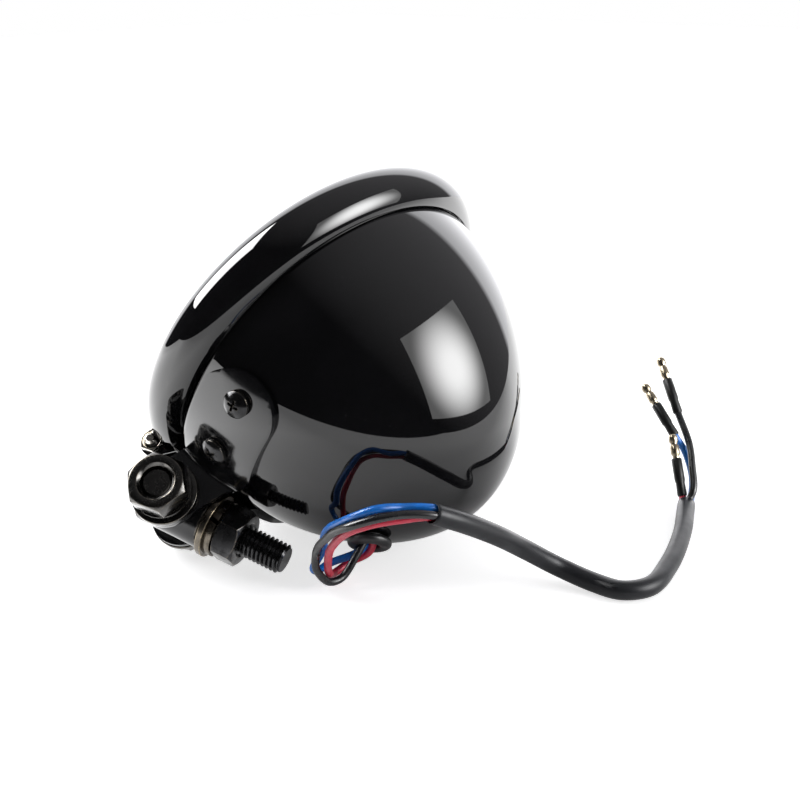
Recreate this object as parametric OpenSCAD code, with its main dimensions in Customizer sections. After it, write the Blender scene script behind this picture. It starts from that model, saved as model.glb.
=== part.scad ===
// Round motorcycle headlight: a deep bullet bowl with a clamped trim ring,
// a two-piece swivel bracket, a threaded mounting stud and a three-wire lead.
// Millimetres. The lamp is drawn upright (+X its left, +Y its back, +Z up, with
// the origin on its axis in the plane of the trim ring's rear edge). It is then
// laid down as it rests: on the side of the bowl, the edge of the right bracket
// plate and the head of the cross bolt, with the trim ring lifted.

/* [Bowl] */
// Outer radius of the bowl where it enters the trim ring
bowl_r = 59; // [54:0.5:60]
// Depth of the bowl behind the trim ring
bowl_depth = 74; // [70:1:84]
// Wall of the pressed bowl
bowl_wall = 1; // [0.8:0.1:2]
// Fullness of the bowl along its depth, 2 is an ellipse
bowl_n = 1.8; // [1.7:0.05:2.2]
// Fullness of the bowl across its width, 2 is an ellipse
bowl_m = 1.9; // [1.8:0.05:2.2]
// Radius of the rolled bead at the bowl's mouth
bead_r = 2; // [1.5:0.1:2.2]

/* [Trim ring] */
// How far the trim ring stands out beyond the bowl
ring_over = 7; // [6.5:0.5:9]
// Outer radius of the ring's rolled section
ring_roll_r = 9; // [8:0.5:10]
// Wall of the rolled ring
ring_wall = 1.2; // [0.8:0.1:1.5]
// Gap between the ring's rear edge and the bowl
ring_gap = 0.4; // [0.2:0.1:1]
// How far the ring's mouth lies inside the bowl's outer radius
ring_lap = 4.8; // [4.2:0.2:6]
// Width of the split at the bottom of the ring
split_w = 4; // [2:0.5:6]
// Thickness of each clamping lug
lug_t = 2; // [1.5:0.1:3]
// Radius of a lug's round end
lug_r = 4.4; // [4:0.2:5]

/* [Lens and reflector] */
// Thickness of the glass
lens_t = 4; // [3:0.1:4.5]
// How far the lens bulges in front of its rim
lens_bulge = 12; // [8:0.5:16]
// Number of flutes pressed into the back of the lens
flute_count = 11; // [5:2:15]
// Depth of a flute
flute_depth = 1; // [0.5:0.1:1.4]
// Focal length of the reflector
focal_l = 24; // [22:0.5:26]
// Thickness of the reflector
reflector_t = 0.8; // [0.6:0.1:1]
// Radius of the bulb hole in the reflector
bulb_hole_r = 19; // [17:0.5:21]

/* [Bulb] */
// Radius of the bulb's mounting flange
bulb_flange_r = 21.5; // [20.5:0.5:23]
// Radius of the glass tube
glass_r = 8.5; // [7:0.5:9]
// Distance from the bulb's tip to the lens
bulb_tip_gap = 4; // [2:0.5:8]
// Radius of the metal base
bulb_base_r = 10.5; // [9.5:0.5:12]
// Length of the base behind the flange
bulb_base_l = 9; // [7:0.5:11]
// Width of a contact blade
blade_w = 8; // [6:0.5:8]
// Length of a contact blade
blade_l = 9; // [7:0.5:10]
// Depth of the plug on the contacts
plug_l = 17; // [14:1:20]

/* [Bracket] */
// Thickness of the bracket plates
plate_t = 2.5; // [2:0.1:3]
// Distance from the middle to the outer face of an ear
ear_x = 12; // [11.6:0.1:13]
// Radius of an ear's round end
ear_r = 10.2; // [9:0.1:10.4]
// Width of the flange on the bowl
flange_w = 26; // [22:0.5:28]
// Angle of the flange's far end, seen from the bottom of the bowl
flange_end = 54; // [52:1:58]
// Room between the large washers and the bracket's flanges
bolt_room = 1.5; // [1:0.1:6]
// Distance of the cross bolt behind the ring's rear edge
bolt_back = 11.4; // [11:0.2:16]
// Angles of the two screws, seen from the bottom of the bowl
screw_angles = [26, 46];
// Distance of the screws behind the ring's rear edge
screw_back = 15.5; // [14:0.5:17]

/* [Stud] */
// Angle of the stud above the line straight back
stud_angle = 24; // [0:1:24]
// Distance from the cross bolt to the stud's end
stud_l = 41; // [38:1:50]
// Thread diameter of the stud and the cross bolt
thread_d = 10; // [8:0.5:10]
// Diameter of the swivel block
block_d = 17.8; // [16:0.2:17.8]
// Distance from the cross bolt to the block's far face
block_l = 13.4; // [12:0.2:16]
// Width across the flats of the large nuts
nut_af = 17; // [16:0.5:18]
// Height of the large nuts
nut_h = 8; // [7:0.2:9]
// Diameter of the washers on the cross bolt
bolt_washer_d = 21; // [20:0.5:22]
// Diameter of the flat washer on the stud
stud_washer_d = 21; // [18:0.5:21]
// Thickness of a flat washer
washer_t = 2; // [1.6:0.1:2.4]
// Thickness of a spring washer
spring_t = 2.4; // [2:0.1:2.6]
// Outer diameter of a spring washer
spring_d = 18.4; // [17.6:0.2:19]

/* [Small screws] */
// Thread diameter of the small screws
small_d = 4; // [3:0.5:4]
// Head diameter of the bracket screws
head_d = 8.4; // [7:0.2:9]
// Head height of the bracket screws
head_h = 2.8; // [2.2:0.1:3.2]
// Width across the flats of the small nuts
small_af = 7; // [6:0.5:7]
// Height of the small nuts
small_nut_h = 3.2; // [2.4:0.1:3.4]

/* [Lead] */
// Diameter of one wire
wire_d = 2.5; // [2:0.1:2.8]
// Diameter of the sleeve over the wires
sleeve_d = 6.2; // [6:0.1:8]
// Distance of the wire hole ahead of the bowl's end
hole_ahead = 14; // [13:1:22]
// Diameter of the wire hole in the bowl
hole_d = 10; // [8:0.5:11]
// Depth of the grommet's lip outside the bowl
lip_h = 3.3; // [2.4:0.1:3.6]
// Width of the grommet's lip beyond the hole
lip_w = 2; // [1.5:0.1:2.5]
// Length of a bullet terminal's insulator
insulator_l = 13.5; // [10:0.5:16]
// Diameter of a bullet terminal's insulator
insulator_d = 3.6; // [3.2:0.1:4.2]
// Length of a bullet terminal
bullet_l = 9; // [7:0.5:11]
// Diameter of a bullet terminal
bullet_d = 3.2; // [2.8:0.1:3.6]

/* [Rest] */
// How far the face tips up when the lamp lies down
rest_tilt = 32.7; // [25:0.1:38]
// How far the lamp is rolled on to its right side
rest_roll = 55.2; // [48:0.1:62]

/* [Hidden] */
// Clearance between pieces that only touch
fit = 0.2;
// Radial clearance of a shank in its hole
bore_fit = 0.05;
// Steps along the bowl's outline
bowl_steps = 24;
// Centre of the ring's rolled section: radius and distance behind the rear edge
ring_r = bowl_r + ring_over;
ring_mouth_r = bowl_r - ring_lap;
ring_mid_r = ring_r - ring_roll_r;
ring_mid_y = -ring_roll_r;
// Centre of the bead, seated inside the ring's rear wall
bead_mid_r = bowl_r + bead_r - bowl_wall;
bead_reach = ring_roll_r - ring_wall - bead_r - fit;
bead_mid_y = ring_mid_y + sqrt(pow(bead_reach, 2) - pow(bead_mid_r - ring_mid_r, 2));
// Rear and front faces of the seal between the ring and the bead
seal_back_y = bead_mid_y - bead_r - fit;
seal_r = ring_mid_r + 1.6;
seal_front_y = ring_mid_y - sqrt(pow(ring_roll_r - ring_wall, 2) - pow(seal_r - ring_mid_r, 2)) + fit;
seal_lip = 1;
seal_mouth_r = ring_mouth_r + 0.6;
// Rim of the lens, held in the seal's groove
lens_rim_r = seal_r - 1.3;
lens_front_y = seal_front_y + seal_lip + bore_fit;
lens_back_y = lens_front_y + lens_t;
lens_dome_r = seal_mouth_r - 0.4;
// Reflector: its flange lies behind the lens
reflector_y = lens_back_y + bore_fit;
reflector_rim_r = lens_dome_r - 1.5;
reflector_depth = pow(reflector_rim_r, 2)/(4*focal_l);
reflector_apex_y = reflector_y + reflector_depth;
bulb_hole_y = reflector_apex_y - pow(bulb_hole_r, 2)/(4*focal_l);
collar_l = 5;
// Bulb, plugged from behind against the reflector's collar
flange_y = bulb_hole_y + collar_l + fit;
flange_t = 1.2;
glass_l = flange_y - (lens_back_y - lens_bulge + bulb_tip_gap);
base_back_y = flange_y + flange_t + bulb_base_l;
blade_t = 0.8;
blade_ring_r = 6.5;
plug_y = base_back_y + 1.5;
plug_w = 25;
plug_h = 20;
boot_t = 1.6;
// Bracket
ear_in_x = ear_x - plate_t;
flange_gap = 0.1;
bolt_drop = bowl_r + flange_gap + plate_t + bolt_washer_d/2 + bolt_room;
hole_back = bowl_depth - hole_ahead;
flange_mid = 36;
flange_mid_back = 15.3;
// Stack of washers and nut on the near side of the cross bolt
head_t = 6.8;
washer_gap = 0.05;
near_washer_x = ear_x + washer_gap;
near_spring_x = near_washer_x + washer_t + washer_gap;
near_nut_x = near_spring_x + spring_t + washer_gap;
bolt_end_x = near_nut_x + nut_h - 1.5;
far_head_x = near_washer_x + washer_t + washer_gap;
// Stack on the stud
stud_washer_s = block_l + 0.6;
stud_spring_s = stud_washer_s + washer_t + washer_gap;
stud_nut_s = stud_spring_s + spring_t + washer_gap;
stud_in_s = thread_d/2 + 1.5;
block_end_s = 9.5;
runout_h = 0.6;
runout_w = 0.7;
// Small hardware
lug_mid_z = ring_r + 0.8;
lug_root_r = bead_mid_r + bead_r + fit;
notch_r = lug_root_r + 0.6;
lug_out_x = split_w/2 + lug_t;
small_washer_t = 0.8;
// Placing on the table
rest_height = max([for (p = bowl_outline(bowl_r, bowl_depth)) p[0]*cos(rest_tilt) + p[1]*sin(rest_tilt)]);
rest_place = [-7.6, -10.7, rest_height];

// Lead: the three wires lie in a triangle in the sleeve and in the grommet
wire_r = wire_d/2;
bundle_r = 1.2*wire_r;
grommet_bore = 2*(bundle_r + wire_r) + 0.7;
bundle_x = bundle_r*cos(30);
bundle_y = bundle_r/2;
blue_place = [bundle_x, -bundle_y];
black_place = [-bundle_x, -bundle_y];
red_place = [0, bundle_r];
// Route of the sleeve in the frame of the lamp at rest: raised at first, then along the table
sleeve_z = sleeve_d/2 + 0.1;
sleeve_route = [[30, 66, 38], [21, 69, 33], [7, 71, 24], [-6, 72, 14.5], [-16, 77, 6.5],
    [-20, 88, sleeve_z], [-21.5, 97, sleeve_z], [-29, 102, sleeve_z], [-44, 99.5, sleeve_z],
    [-66, 91.5, sleeve_z], [-87, 81, sleeve_z]];
// Free parts of the three wires' routes between the sleeve and the grommet
blue_route = [[36, 60.5, 41.5], [42.5, 57.5, 42.5], [46, 52.5, 40], [45, 44, 34.5], [42, 35, 26.5],
    [38, 27, 17], [34.5, 21.5, 9], [31, 19.5, 4.5], [26, 19.5, 4.5]];
black_route = [[37.5, 61.5, 39.5], [43.5, 58, 39.5], [47.5, 52.5, 37], [47.5, 44.5, 31.5],
    [44.5, 35.5, 23.5], [40.5, 28.5, 15], [37, 25, 7.5], [33, 24.5, 3], [30, 27, 2]];
red_route = [[37, 61, 36.5], [42, 57.5, 36.5], [46, 52, 34.5], [45, 44, 29], [41.5, 36.5, 21],
    [38, 31, 12.5], [34.5, 28, 7], [31.5, 25.5, 5.4], [27.5, 23.5, 4.5]];
// Their last parts over the grommet's lip, as [across, along, out] from the hole's middle
blue_entry = [[4.4, -8.4, 4.6], [2.1, -5.2, 5.4], [1.5, -2.8, 4.5], [1.3, -1, 2.6]];
black_entry = [[1.9, -6.3, 9.5], [-0.6, -4.4, 7.6], [-1.4, -2, 5.4], [-1.3, -1, 3]];
red_entry = [[4.8, -7.5, 7.6], [4.6, -2.2, 5.8], [3, 1.4, 4.9], [0.9, 1.9, 3.3]];
// Routes inside the lamp, from the hole to the back of the plug
inner_drop = 4;
inner_pitch = 6;
// Free parts of the wires' routes beyond the sleeve, up to their insulators
tail_blue_route = [[-92, 80, 4.5], [-97, 77, 9.5], [-100.5, 71.5, 16.5], [-99, 68, 22]];
tail_black_route = [[-90.5, 81.5, 8], [-95, 78, 13.5], [-100.5, 73, 20], [-105.5, 65, 28]];
tail_red_route = [[-88.8, 78.3, 5]];
// Ways of the three insulators and bullet terminals
blue_way = [-0.19, -0.74, 0.65];
black_way = [-0.34, -0.6, 0.73];
red_way = [-0.35, -0.45, 0.82];

// Outline point of the bowl at parameter angle a
function bowl_point(a, r, d) = [r*pow(cos(a), 2/bowl_m), d*pow(sin(a), 2/bowl_n)];
function bowl_outline(r, d) = [for (i = [0:bowl_steps]) bowl_point(90*i/bowl_steps, r, d)];
// Radius of the bowl and lean of its surface at a distance behind the ring
function bowl_radius(b) = bowl_r*pow(1 - pow(b/bowl_depth, bowl_n), 1/bowl_m);
function bowl_lean(b) = atan(bowl_radius(b - 0.5) - bowl_radius(b + 0.5));
function flip(list) = [for (i = [len(list) - 1:-1:0]) list[i]];
function unit(v) = v/norm(v);
// Points and ways turned as lay_down() turns the lamp
function turned_x(p, a) = [p[0], p[1]*cos(a) - p[2]*sin(a), p[1]*sin(a) + p[2]*cos(a)];
function turned_y(p, a) = [p[0]*cos(a) + p[2]*sin(a), p[1], p[2]*cos(a) - p[0]*sin(a)];
function laid_way(v) = turned_x(turned_y(v, -rest_roll), -rest_tilt);
function laid(p) = rest_place + laid_way(p);
// Way and point given as [across, along, out] at the wire hole
function hole_way(v) = let (l = bowl_lean(hole_back))
    [-v[0], v[1]*cos(l) + v[2]*sin(l), v[1]*sin(l) - v[2]*cos(l)];
function hole_point(v) = [0, hole_back, -bowl_radius(hole_back)] + hole_way(v);
// Wire's place in the bundle at a sleeve's end: a turns it about the sleeve's way
function bundle_point(end, way, a) = let (level = unit(cross(way, [0, 0, 1])), rise = cross(level, way))
    end + bundle_r*(cos(a)*level + sin(a)*rise);
// Way along a route at its point i, with its first and last ways given
function way_at(path, i, from, to) = i == 0 ? from : i == len(path) - 1 ? to :
    unit(unit(path[i + 1] - path[i]) + unit(path[i] - path[i - 1]));
// Side direction at point i, carried along the route without twist
function side_at(ways, i) = i == 0 ? unit(cross(ways[0], abs(ways[0][2]) < 0.9 ? [0, 0, 1] : [1, 0, 0])) :
    let (s = side_at(ways, i - 1)) unit(s - (s*ways[i])*ways[i]);

// Turns an outline of [radius, distance back] about the lamp's axis
module lathe() {
    rotate([-90, 0, 0]) rotate_extrude($fn = 96) children();
}

// Stands on the bowl's surface, its Z along the outward normal
module at_bowl(theta, back) {
    r = bowl_radius(back);
    translate([r*sin(theta), back, -r*cos(theta)])
        rotate([-bowl_lean(back), 180 - theta, 0]) children();
}

// Lies along the cross bolt, its Z towards the lamp's left
module on_bolt(x) {
    translate([x, bolt_back, -bolt_drop]) rotate([0, 90, 0]) children();
}

// Lies along the stud, its Z towards the stud's free end
module on_stud(s) {
    translate([0, bolt_back, -bolt_drop]) rotate([stud_angle - 90, 0, 0])
        translate([0, 0, s]) children();
}

// Lays the upright lamp down as it rests
module lay_down() {
    translate(rest_place) rotate([-rest_tilt, 0, 0]) rotate([0, -rest_roll, 0])
        children();
}

// Stands at a point with its Z along a way
module aim(p, way) {
    translate(p) rotate([0, acos(way[2]/norm(way)), atan2(way[1], way[0])]) children();
}

// Round tube along a path, its end faces square to the ways given
module tube(path, r, from, to, sides = 8) {
    last = len(path) - 1;
    ways = [for (i = [0:last]) way_at(path, i, unit(from), unit(to))];
    points = [for (i = [0:last]) let (s = side_at(ways, i), t = cross(ways[i], s))
        for (k = [0:sides - 1]) path[i] + r*(cos(360*k/sides)*s + sin(360*k/sides)*t)];
    skin = [for (i = [0:last - 1], k = [0:sides - 1]) let (a = i*sides, n = (k + 1)%sides)
        each [[a + k, a + sides + k, a + sides + n], [a + k, a + sides + n, a + n]]];
    polyhedron(points, concat(skin, [[for (k = [0:sides - 1]) k]],
        [[for (k = [sides - 1:-1:0]) last*sides + k]]));
}

module hex_prism(af, h) {
    cylinder(d = af/cos(30), h = h, $fn = 6);
}

// Hexagon with its corners turned down to a cone at both ends
module chamfered_hex(af, h) {
    c = af/cos(30)/2;
    cone_h = 0.16*af;
    intersection() {
        hex_prism(af, h);
        rotate_extrude($fn = 64) polygon([[0, 0], [af/2 - 0.2, 0], [c + 0.1, cone_h],
            [c + 0.1, h - cone_h], [af/2 - 0.2, h], [0, h]]);
    }
}

module nut(af, h, bore) {
    difference() {
        chamfered_hex(af, h);
        translate([0, 0, -1]) cylinder(d = bore, h = h + 2, $fn = 48);
        translate([0, 0, -0.01]) cylinder(d1 = bore + 2, d2 = bore, h = 1, $fn = 48);
        translate([0, 0, h - 0.99]) cylinder(d1 = bore, d2 = bore + 2, h = 1, $fn = 48);
    }
}

module washer(outer, inner, t) {
    e = 0.3;
    rotate_extrude($fn = 64) polygon([[inner/2, 0], [outer/2 - e, 0], [outer/2, e], [outer/2, t - e],
        [outer/2 - e, t], [inner/2, t]]);
}

module spring_washer(outer, inner, t) {
    difference() {
        washer(outer, inner, t);
        rotate([0, -14, 0]) translate([0, -0.7, -t]) cube([outer, 1.4, 4*t]);
    }
}

// Shank with a short cone at its end
module shank(d, l, cone = 0.8) {
    rotate_extrude($fn = 48) polygon([[0, 0], [d/2, 0], [d/2, l - cone], [d/2 - cone, l], [0, l]]);
}

// Domed head with a cross recess, seated at z = 0
module pan_head(d, h) {
    difference() {
        intersection() {
            cylinder(d = d, h = h, $fn = 48);
            translate([0, 0, h - 0.75*d]) sphere(r = 0.75*d, $fn = 64);
        }
        for (a = [45, 135]) rotate([0, 0, a]) translate([-0.29*d, -0.06*d, h - 1.5])
            cube([0.58*d, 0.12*d, 3]);
    }
}

module shell_profile() {
    inner_r = bowl_r - bowl_wall;
    polygon(concat(bowl_outline(bowl_r, bowl_depth), flip(bowl_outline(inner_r, bowl_depth - bowl_wall)),
        [[inner_r, bead_mid_y], [bowl_r, bead_mid_y]]));
    translate([bead_mid_r, bead_mid_y]) circle(r = bead_r, $fn = 32);
}

module shell() {
    color("black") lay_down() difference() {
        lathe() shell_profile();
        for (side = [-1, 1], a = screw_angles) at_bowl(side*a, screw_back)
            translate([0, 0, -6]) cylinder(d = small_d + 0.6, h = 12, $fn = 32);
        at_bowl(0, hole_back) translate([0, 0, -6]) cylinder(d = hole_d, h = 12, $fn = 48);
    }
}

module ring_section() {
    difference() {
        translate([ring_mid_r, ring_mid_y]) difference() {
            circle(r = ring_roll_r, $fn = 96);
            circle(r = ring_roll_r - ring_wall, $fn = 96);
        }
        translate([0, ring_mid_y]) square([bowl_r + ring_gap, 2*ring_roll_r]);
        translate([0, ring_mid_y - 2*ring_roll_r]) square([ring_mouth_r, 2*ring_roll_r + 0.01]);
    }
}

// Flat lug, drawn in the plane of [back, up]
module lug_outline() {
    half = sqrt(pow(ring_roll_r - 0.5*ring_wall, 2) - pow(lug_root_r - ring_mid_r, 2));
    difference() {
        union() {
            translate([ring_mid_y, -lug_mid_z]) circle(r = lug_r, $fn = 48);
            polygon([[ring_mid_y - half, -lug_root_r], [ring_mid_y + half, -lug_root_r],
                [ring_mid_y + lug_r, -lug_mid_z], [ring_mid_y - lug_r, -lug_mid_z]]);
        }
        translate([ring_mid_y, -lug_mid_z]) circle(d = small_d + 0.4, $fn = 32);
    }
}

module trim_ring() {
    notch_w = 2*(lug_out_x + small_nut_h + 2.4);
    color("black") lay_down() {
        difference() {
            lathe() ring_section();
            translate([-split_w/2, -40, -90]) cube([split_w, 80, 60]);
            translate([-notch_w/2, -40, -90]) cube([notch_w, 80, 90 - notch_r]);
        }
        for (side = [-1, 1]) translate([side*(split_w + lug_t)/2, 0, 0])
            translate([-lug_t/2, 0, 0]) rotate([90, 0, 90]) linear_extrude(lug_t) lug_outline();
    }
}

module clamp_screw() {
    color("silver") lay_down() translate([-lug_out_x - washer_gap, ring_mid_y, -lug_mid_z]) {
        rotate([0, -90, 0]) pan_head(1.8*small_d, 0.65*small_d);
        rotate([0, 90, 0]) shank(small_d, 2*lug_out_x + small_nut_h + 1.8, 0.5);
    }
}

module clamp_nut() {
    color("silver") lay_down() translate([lug_out_x + washer_gap, ring_mid_y, -lug_mid_z])
        rotate([0, 90, 0]) nut(small_af, small_nut_h, small_d + 2*bore_fit);
}

// Radius of the sphere whose cap has the lens's width and bulge
function cap_radius(half, rise) = (half*half + rise*rise)/(2*rise);

module lens() {
    ball_r = cap_radius(lens_dome_r, lens_bulge);
    ball_y = lens_front_y - lens_bulge + ball_r;
    inner_r = ball_r - lens_t;
    // Flutes are rings about the level axis through the dome's centre, cut into its back
    flute_step = 2*asin((lens_dome_r - 4)/inner_r)/flute_count;
    half_w = inner_r*sin(flute_step/2) - 0.3;
    flute_r = (half_w*half_w + flute_depth*flute_depth)/(2*flute_depth);
    color("lightcyan") lay_down() difference() {
        union() {
            intersection() {
                translate([0, ball_y, 0]) rotate([90, 0, 0]) sphere(r = ball_r, $fn = 128);
                rotate([90, 0, 0]) translate([0, 0, -lens_back_y])
                    cylinder(r = lens_dome_r, h = 60, $fn = 96);
            }
            rotate([90, 0, 0]) translate([0, 0, -lens_back_y])
                cylinder(r = lens_rim_r, h = lens_t, $fn = 96);
        }
        translate([0, ball_y, 0]) rotate([90, 0, 0]) sphere(r = inner_r, $fn = 128);
        intersection() {
            translate([0, ball_y, 0]) rotate([0, 90, 0]) for (i = [0:flute_count - 1])
                rotate_extrude($fn = 128) intersection() {
                    rotate([0, 0, flute_step*(i - (flute_count - 1)/2)])
                        translate([inner_r + flute_depth - flute_r, 0]) circle(r = flute_r, $fn = 96);
                    translate([0, -lens_dome_r]) square([2*inner_r, 2*lens_dome_r]);
                }
            rotate([90, 0, 0]) translate([0, 0, -lens_back_y + 1.5])
                cylinder(r = lens_dome_r - 2, h = 60, $fn = 96);
        }
    }
}

module lens_seal() {
    color("dimgray") lay_down() lathe() difference() {
        polygon([[seal_mouth_r, seal_front_y], [seal_r, seal_front_y], [seal_r, seal_back_y],
            [seal_mouth_r, seal_back_y]]);
        translate([0, seal_front_y + seal_lip]) square([lens_rim_r + bore_fit,
            lens_t + reflector_t + 3*bore_fit]);
    }
}

module reflector_section() {
    steps = 16;
    outer = [for (i = [0:steps]) let (r = reflector_rim_r + (bulb_hole_r - reflector_rim_r)*i/steps)
        [r, reflector_apex_y - r*r/(4*focal_l)]];
    polygon(concat([[lens_rim_r, reflector_y]], outer, [[bulb_hole_r, bulb_hole_y + collar_l],
        [bulb_hole_r + reflector_t, bulb_hole_y + collar_l]],
        [for (i = [steps:-1:0]) outer[i] + [reflector_t*0.8, reflector_t*0.9]],
        [[lens_rim_r, reflector_y + reflector_t]]));
}

module reflector() {
    color("silver") lay_down() lathe() reflector_section();
}

module bulb_glass() {
    color("white") lay_down() lathe() difference() {
        polygon([[0, flange_y - glass_l], [glass_r - 2.5, flange_y - glass_l],
            [glass_r, flange_y - glass_l + 2.5], [glass_r, flange_y - 1], [0, flange_y - 1]]);
        polygon([[-1, flange_y - glass_l + 1], [glass_r - 3, flange_y - glass_l + 1],
            [glass_r - 1, flange_y - glass_l + 3], [glass_r - 1, flange_y - 0.5], [-1, flange_y - 0.5]]);
    }
}

// Two coils between two posts, with a shield below the front coil
module bulb_filaments() {
    post_x = 0.35*glass_r;
    post_l = 0.72*glass_l;
    shield_z = -0.35*glass_r;
    color("gray") lay_down() {
        for (back = [0.48*glass_l, 0.69*glass_l]) translate([-post_x, flange_y - back, 0])
            rotate([0, 90, 0]) cylinder(d = 0.9, h = 2*post_x, $fn = 24);
        for (x = [-post_x, post_x]) {
            translate([x, flange_y - 0.8, 0]) rotate([90, 0, 0]) cylinder(d = 1.2, h = post_l, $fn = 24);
            translate([x - 0.3, flange_y - 0.64*glass_l, shield_z + 0.4]) cube([0.6, 3, -shield_z - 0.4]);
        }
        translate([-post_x - 0.5, flange_y - 0.78*glass_l, shield_z])
            cube([2*post_x + 1, 0.21*glass_l, 0.8]);
    }
}

module bulb_base() {
    color("silver") lay_down() lathe() polygon([[0, flange_y - 0.7], [glass_r + 1.5, flange_y - 0.7],
        [glass_r + 1.5, flange_y], [bulb_flange_r, flange_y], [bulb_flange_r, flange_y + flange_t],
        [bulb_base_r, flange_y + flange_t], [bulb_base_r, base_back_y - 1], [bulb_base_r - 1, base_back_y],
        [0, base_back_y]]);
}

module bulb_contacts() {
    color("silver") lay_down() for (a = [90, 180, 270]) rotate([0, a, 0])
        translate([-blade_w/2, base_back_y + washer_gap, blade_ring_r - blade_t/2])
            cube([blade_w, blade_l, blade_t]);
}

module bulb_clip() {
    w = 1.4;
    z = bulb_base_r + 2.4;
    y = flange_y + flange_t + 0.1 + w/2;
    color("silver") lay_down() {
        for (side = [-1, 1]) translate([side*z, y, -bulb_flange_r - 2])
            cylinder(d = w, h = 2*bulb_flange_r + 4, $fn = 24);
        translate([-z - w/2, y, -bulb_flange_r - 2]) rotate([0, 90, 0])
            cylinder(d = w, h = 2*z + w, $fn = 24);
    }
}

module bulb_boot() {
    color("dimgray") lay_down() lathe() polygon([[bulb_base_r + fit, base_back_y - 5],
        [bulb_base_r + boot_t + fit, base_back_y - 5], [bulb_base_r + boot_t + fit, base_back_y + 0.4],
        [bulb_base_r + fit, base_back_y + 0.4]]);
}

module bulb_plug() {
    color("dimgray") lay_down() difference() {
        translate([-plug_w/2, plug_y, -plug_h/2]) cube([plug_w, plug_l, plug_h]);
        for (a = [90, 180, 270]) rotate([0, a, 0])
            translate([-blade_w/2 - fit, plug_y - 1, blade_ring_r - blade_t/2 - fit])
                cube([blade_w + 2*fit, blade_l + 0.5, blade_t + 2*fit]);
    }
}

// Part of the bracket that lies on the bowl, drawn flat as [around, back]
module flange_outline() {
    half = flange_w/2;
    reach = (bowl_r + plate_t)*sin(flange_end - flange_mid);
    root = -(bowl_r + plate_t)*sin(flange_mid - 8);
    translate([reach - half, flange_mid_back]) circle(r = half, $fn = 64);
    polygon([[root, bolt_back - ear_r + 2], [root/2, flange_mid_back - half],
        [reach - half, flange_mid_back - half], [reach - half, flange_mid_back + half],
        [root/2, flange_mid_back + half], [root, bolt_back + ear_r + 2]]);
}

module bowl_band(gap, t) {
    lathe() difference() {
        polygon(concat([[0, -4], [bowl_r + gap + t, -4]],
            bowl_outline(bowl_r + gap + t, bowl_depth + gap + t)));
        polygon(concat([[-1, -5], [bowl_r + gap, -5]], bowl_outline(bowl_r + gap, bowl_depth + gap),
            [[-1, bowl_depth + gap]]));
    }
}

module ear_outline() {
    top = bowl_r - 6;
    translate([bolt_back, -bolt_drop]) circle(r = ear_r, $fn = 64);
    polygon([[bolt_back - ear_r + 2, -top], [bolt_back + ear_r + 2, -top],
        [bolt_back + ear_r, -bolt_drop + 6], [bolt_back + ear_r, -bolt_drop],
        [bolt_back - ear_r, -bolt_drop], [bolt_back - ear_r + 1, -bolt_drop + 6]]);
}

module bracket() {
    difference() {
        union() {
            intersection() {
                bowl_band(flange_gap, plate_t);
                rotate([0, 180 - flange_mid, 0]) mirror([1, 0, 0]) linear_extrude(90) flange_outline();
                translate([ear_in_x, -50, -100]) cube([100, 100, 100]);
            }
            difference() {
                translate([ear_in_x, 0, 0]) rotate([90, 0, 90]) linear_extrude(plate_t) ear_outline();
                lathe() polygon(concat([[0, -5], [bowl_r + flange_gap, -5]],
                    bowl_outline(bowl_r + flange_gap, bowl_depth + flange_gap)));
            }
        }
        on_bolt(0) cylinder(d = thread_d + 0.4, h = 30, $fn = 64);
        for (a = screw_angles) at_bowl(a, screw_back) translate([0, 0, -6])
            cylinder(d = small_d + 0.6, h = 16, $fn = 32);
    }
}

module bracket_left() {
    color("black") lay_down() bracket();
}

module bracket_right() {
    color("black") lay_down() mirror([1, 0, 0]) bracket();
}

module bracket_screws() {
    seat = plate_t + flange_gap + 0.35;
    color("black") lay_down() for (side = [-1, 1], a = screw_angles) at_bowl(side*a, screw_back)
        translate([0, 0, seat]) {
            pan_head(head_d, head_h);
            rotate([180, 0, 0]) shank(small_d, seat + bowl_wall + small_washer_t + small_nut_h + 2, 0.5);
        }
}

module bracket_nuts() {
    seat = bowl_wall + 0.4;
    color("silver") lay_down() for (side = [-1, 1], a = screw_angles) at_bowl(side*a, screw_back)
        translate([0, 0, -seat]) rotate([180, 0, 0]) {
            washer(9, small_d + 2*bore_fit, small_washer_t);
            translate([0, 0, small_washer_t + washer_gap]) nut(small_af, small_nut_h, small_d + 2*bore_fit);
        }
}

module cross_bolt() {
    color("dimgray") lay_down() {
        on_bolt(-far_head_x - head_t) chamfered_hex(nut_af, head_t);
        on_bolt(-far_head_x - 0.5) shank(thread_d - 2*bore_fit, bolt_end_x + far_head_x + 0.5, 1);
    }
}

module cross_washers() {
    color("dimgray") lay_down() {
        on_bolt(near_washer_x) washer(bolt_washer_d, thread_d + 0.2, washer_t);
        on_bolt(-near_washer_x - washer_t) washer(bolt_washer_d, thread_d + 0.2, washer_t);
    }
}

module cross_spring_washer() {
    color("dimgray") lay_down() on_bolt(near_spring_x) spring_washer(spring_d, thread_d + 0.2, spring_t);
}

module cross_nut() {
    color("dimgray") lay_down() on_bolt(near_nut_x) nut(nut_af, nut_h, thread_d);
}

module swivel_block() {
    c = 1;
    color("black") lay_down() difference() {
        on_stud(0) rotate_extrude($fn = 96) polygon([[0, -block_end_s],
            [block_d/2 - c, -block_end_s], [block_d/2, -block_end_s + c],
            [block_d/2, block_l - 0.4], [block_d/2 - 0.4, block_l], [0, block_l]]);
        on_bolt(-30) cylinder(d = thread_d + 2*bore_fit, h = 60, $fn = 64);
        on_stud(stud_in_s) cylinder(d = thread_d, h = 30, $fn = 64);
    }
}

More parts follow.
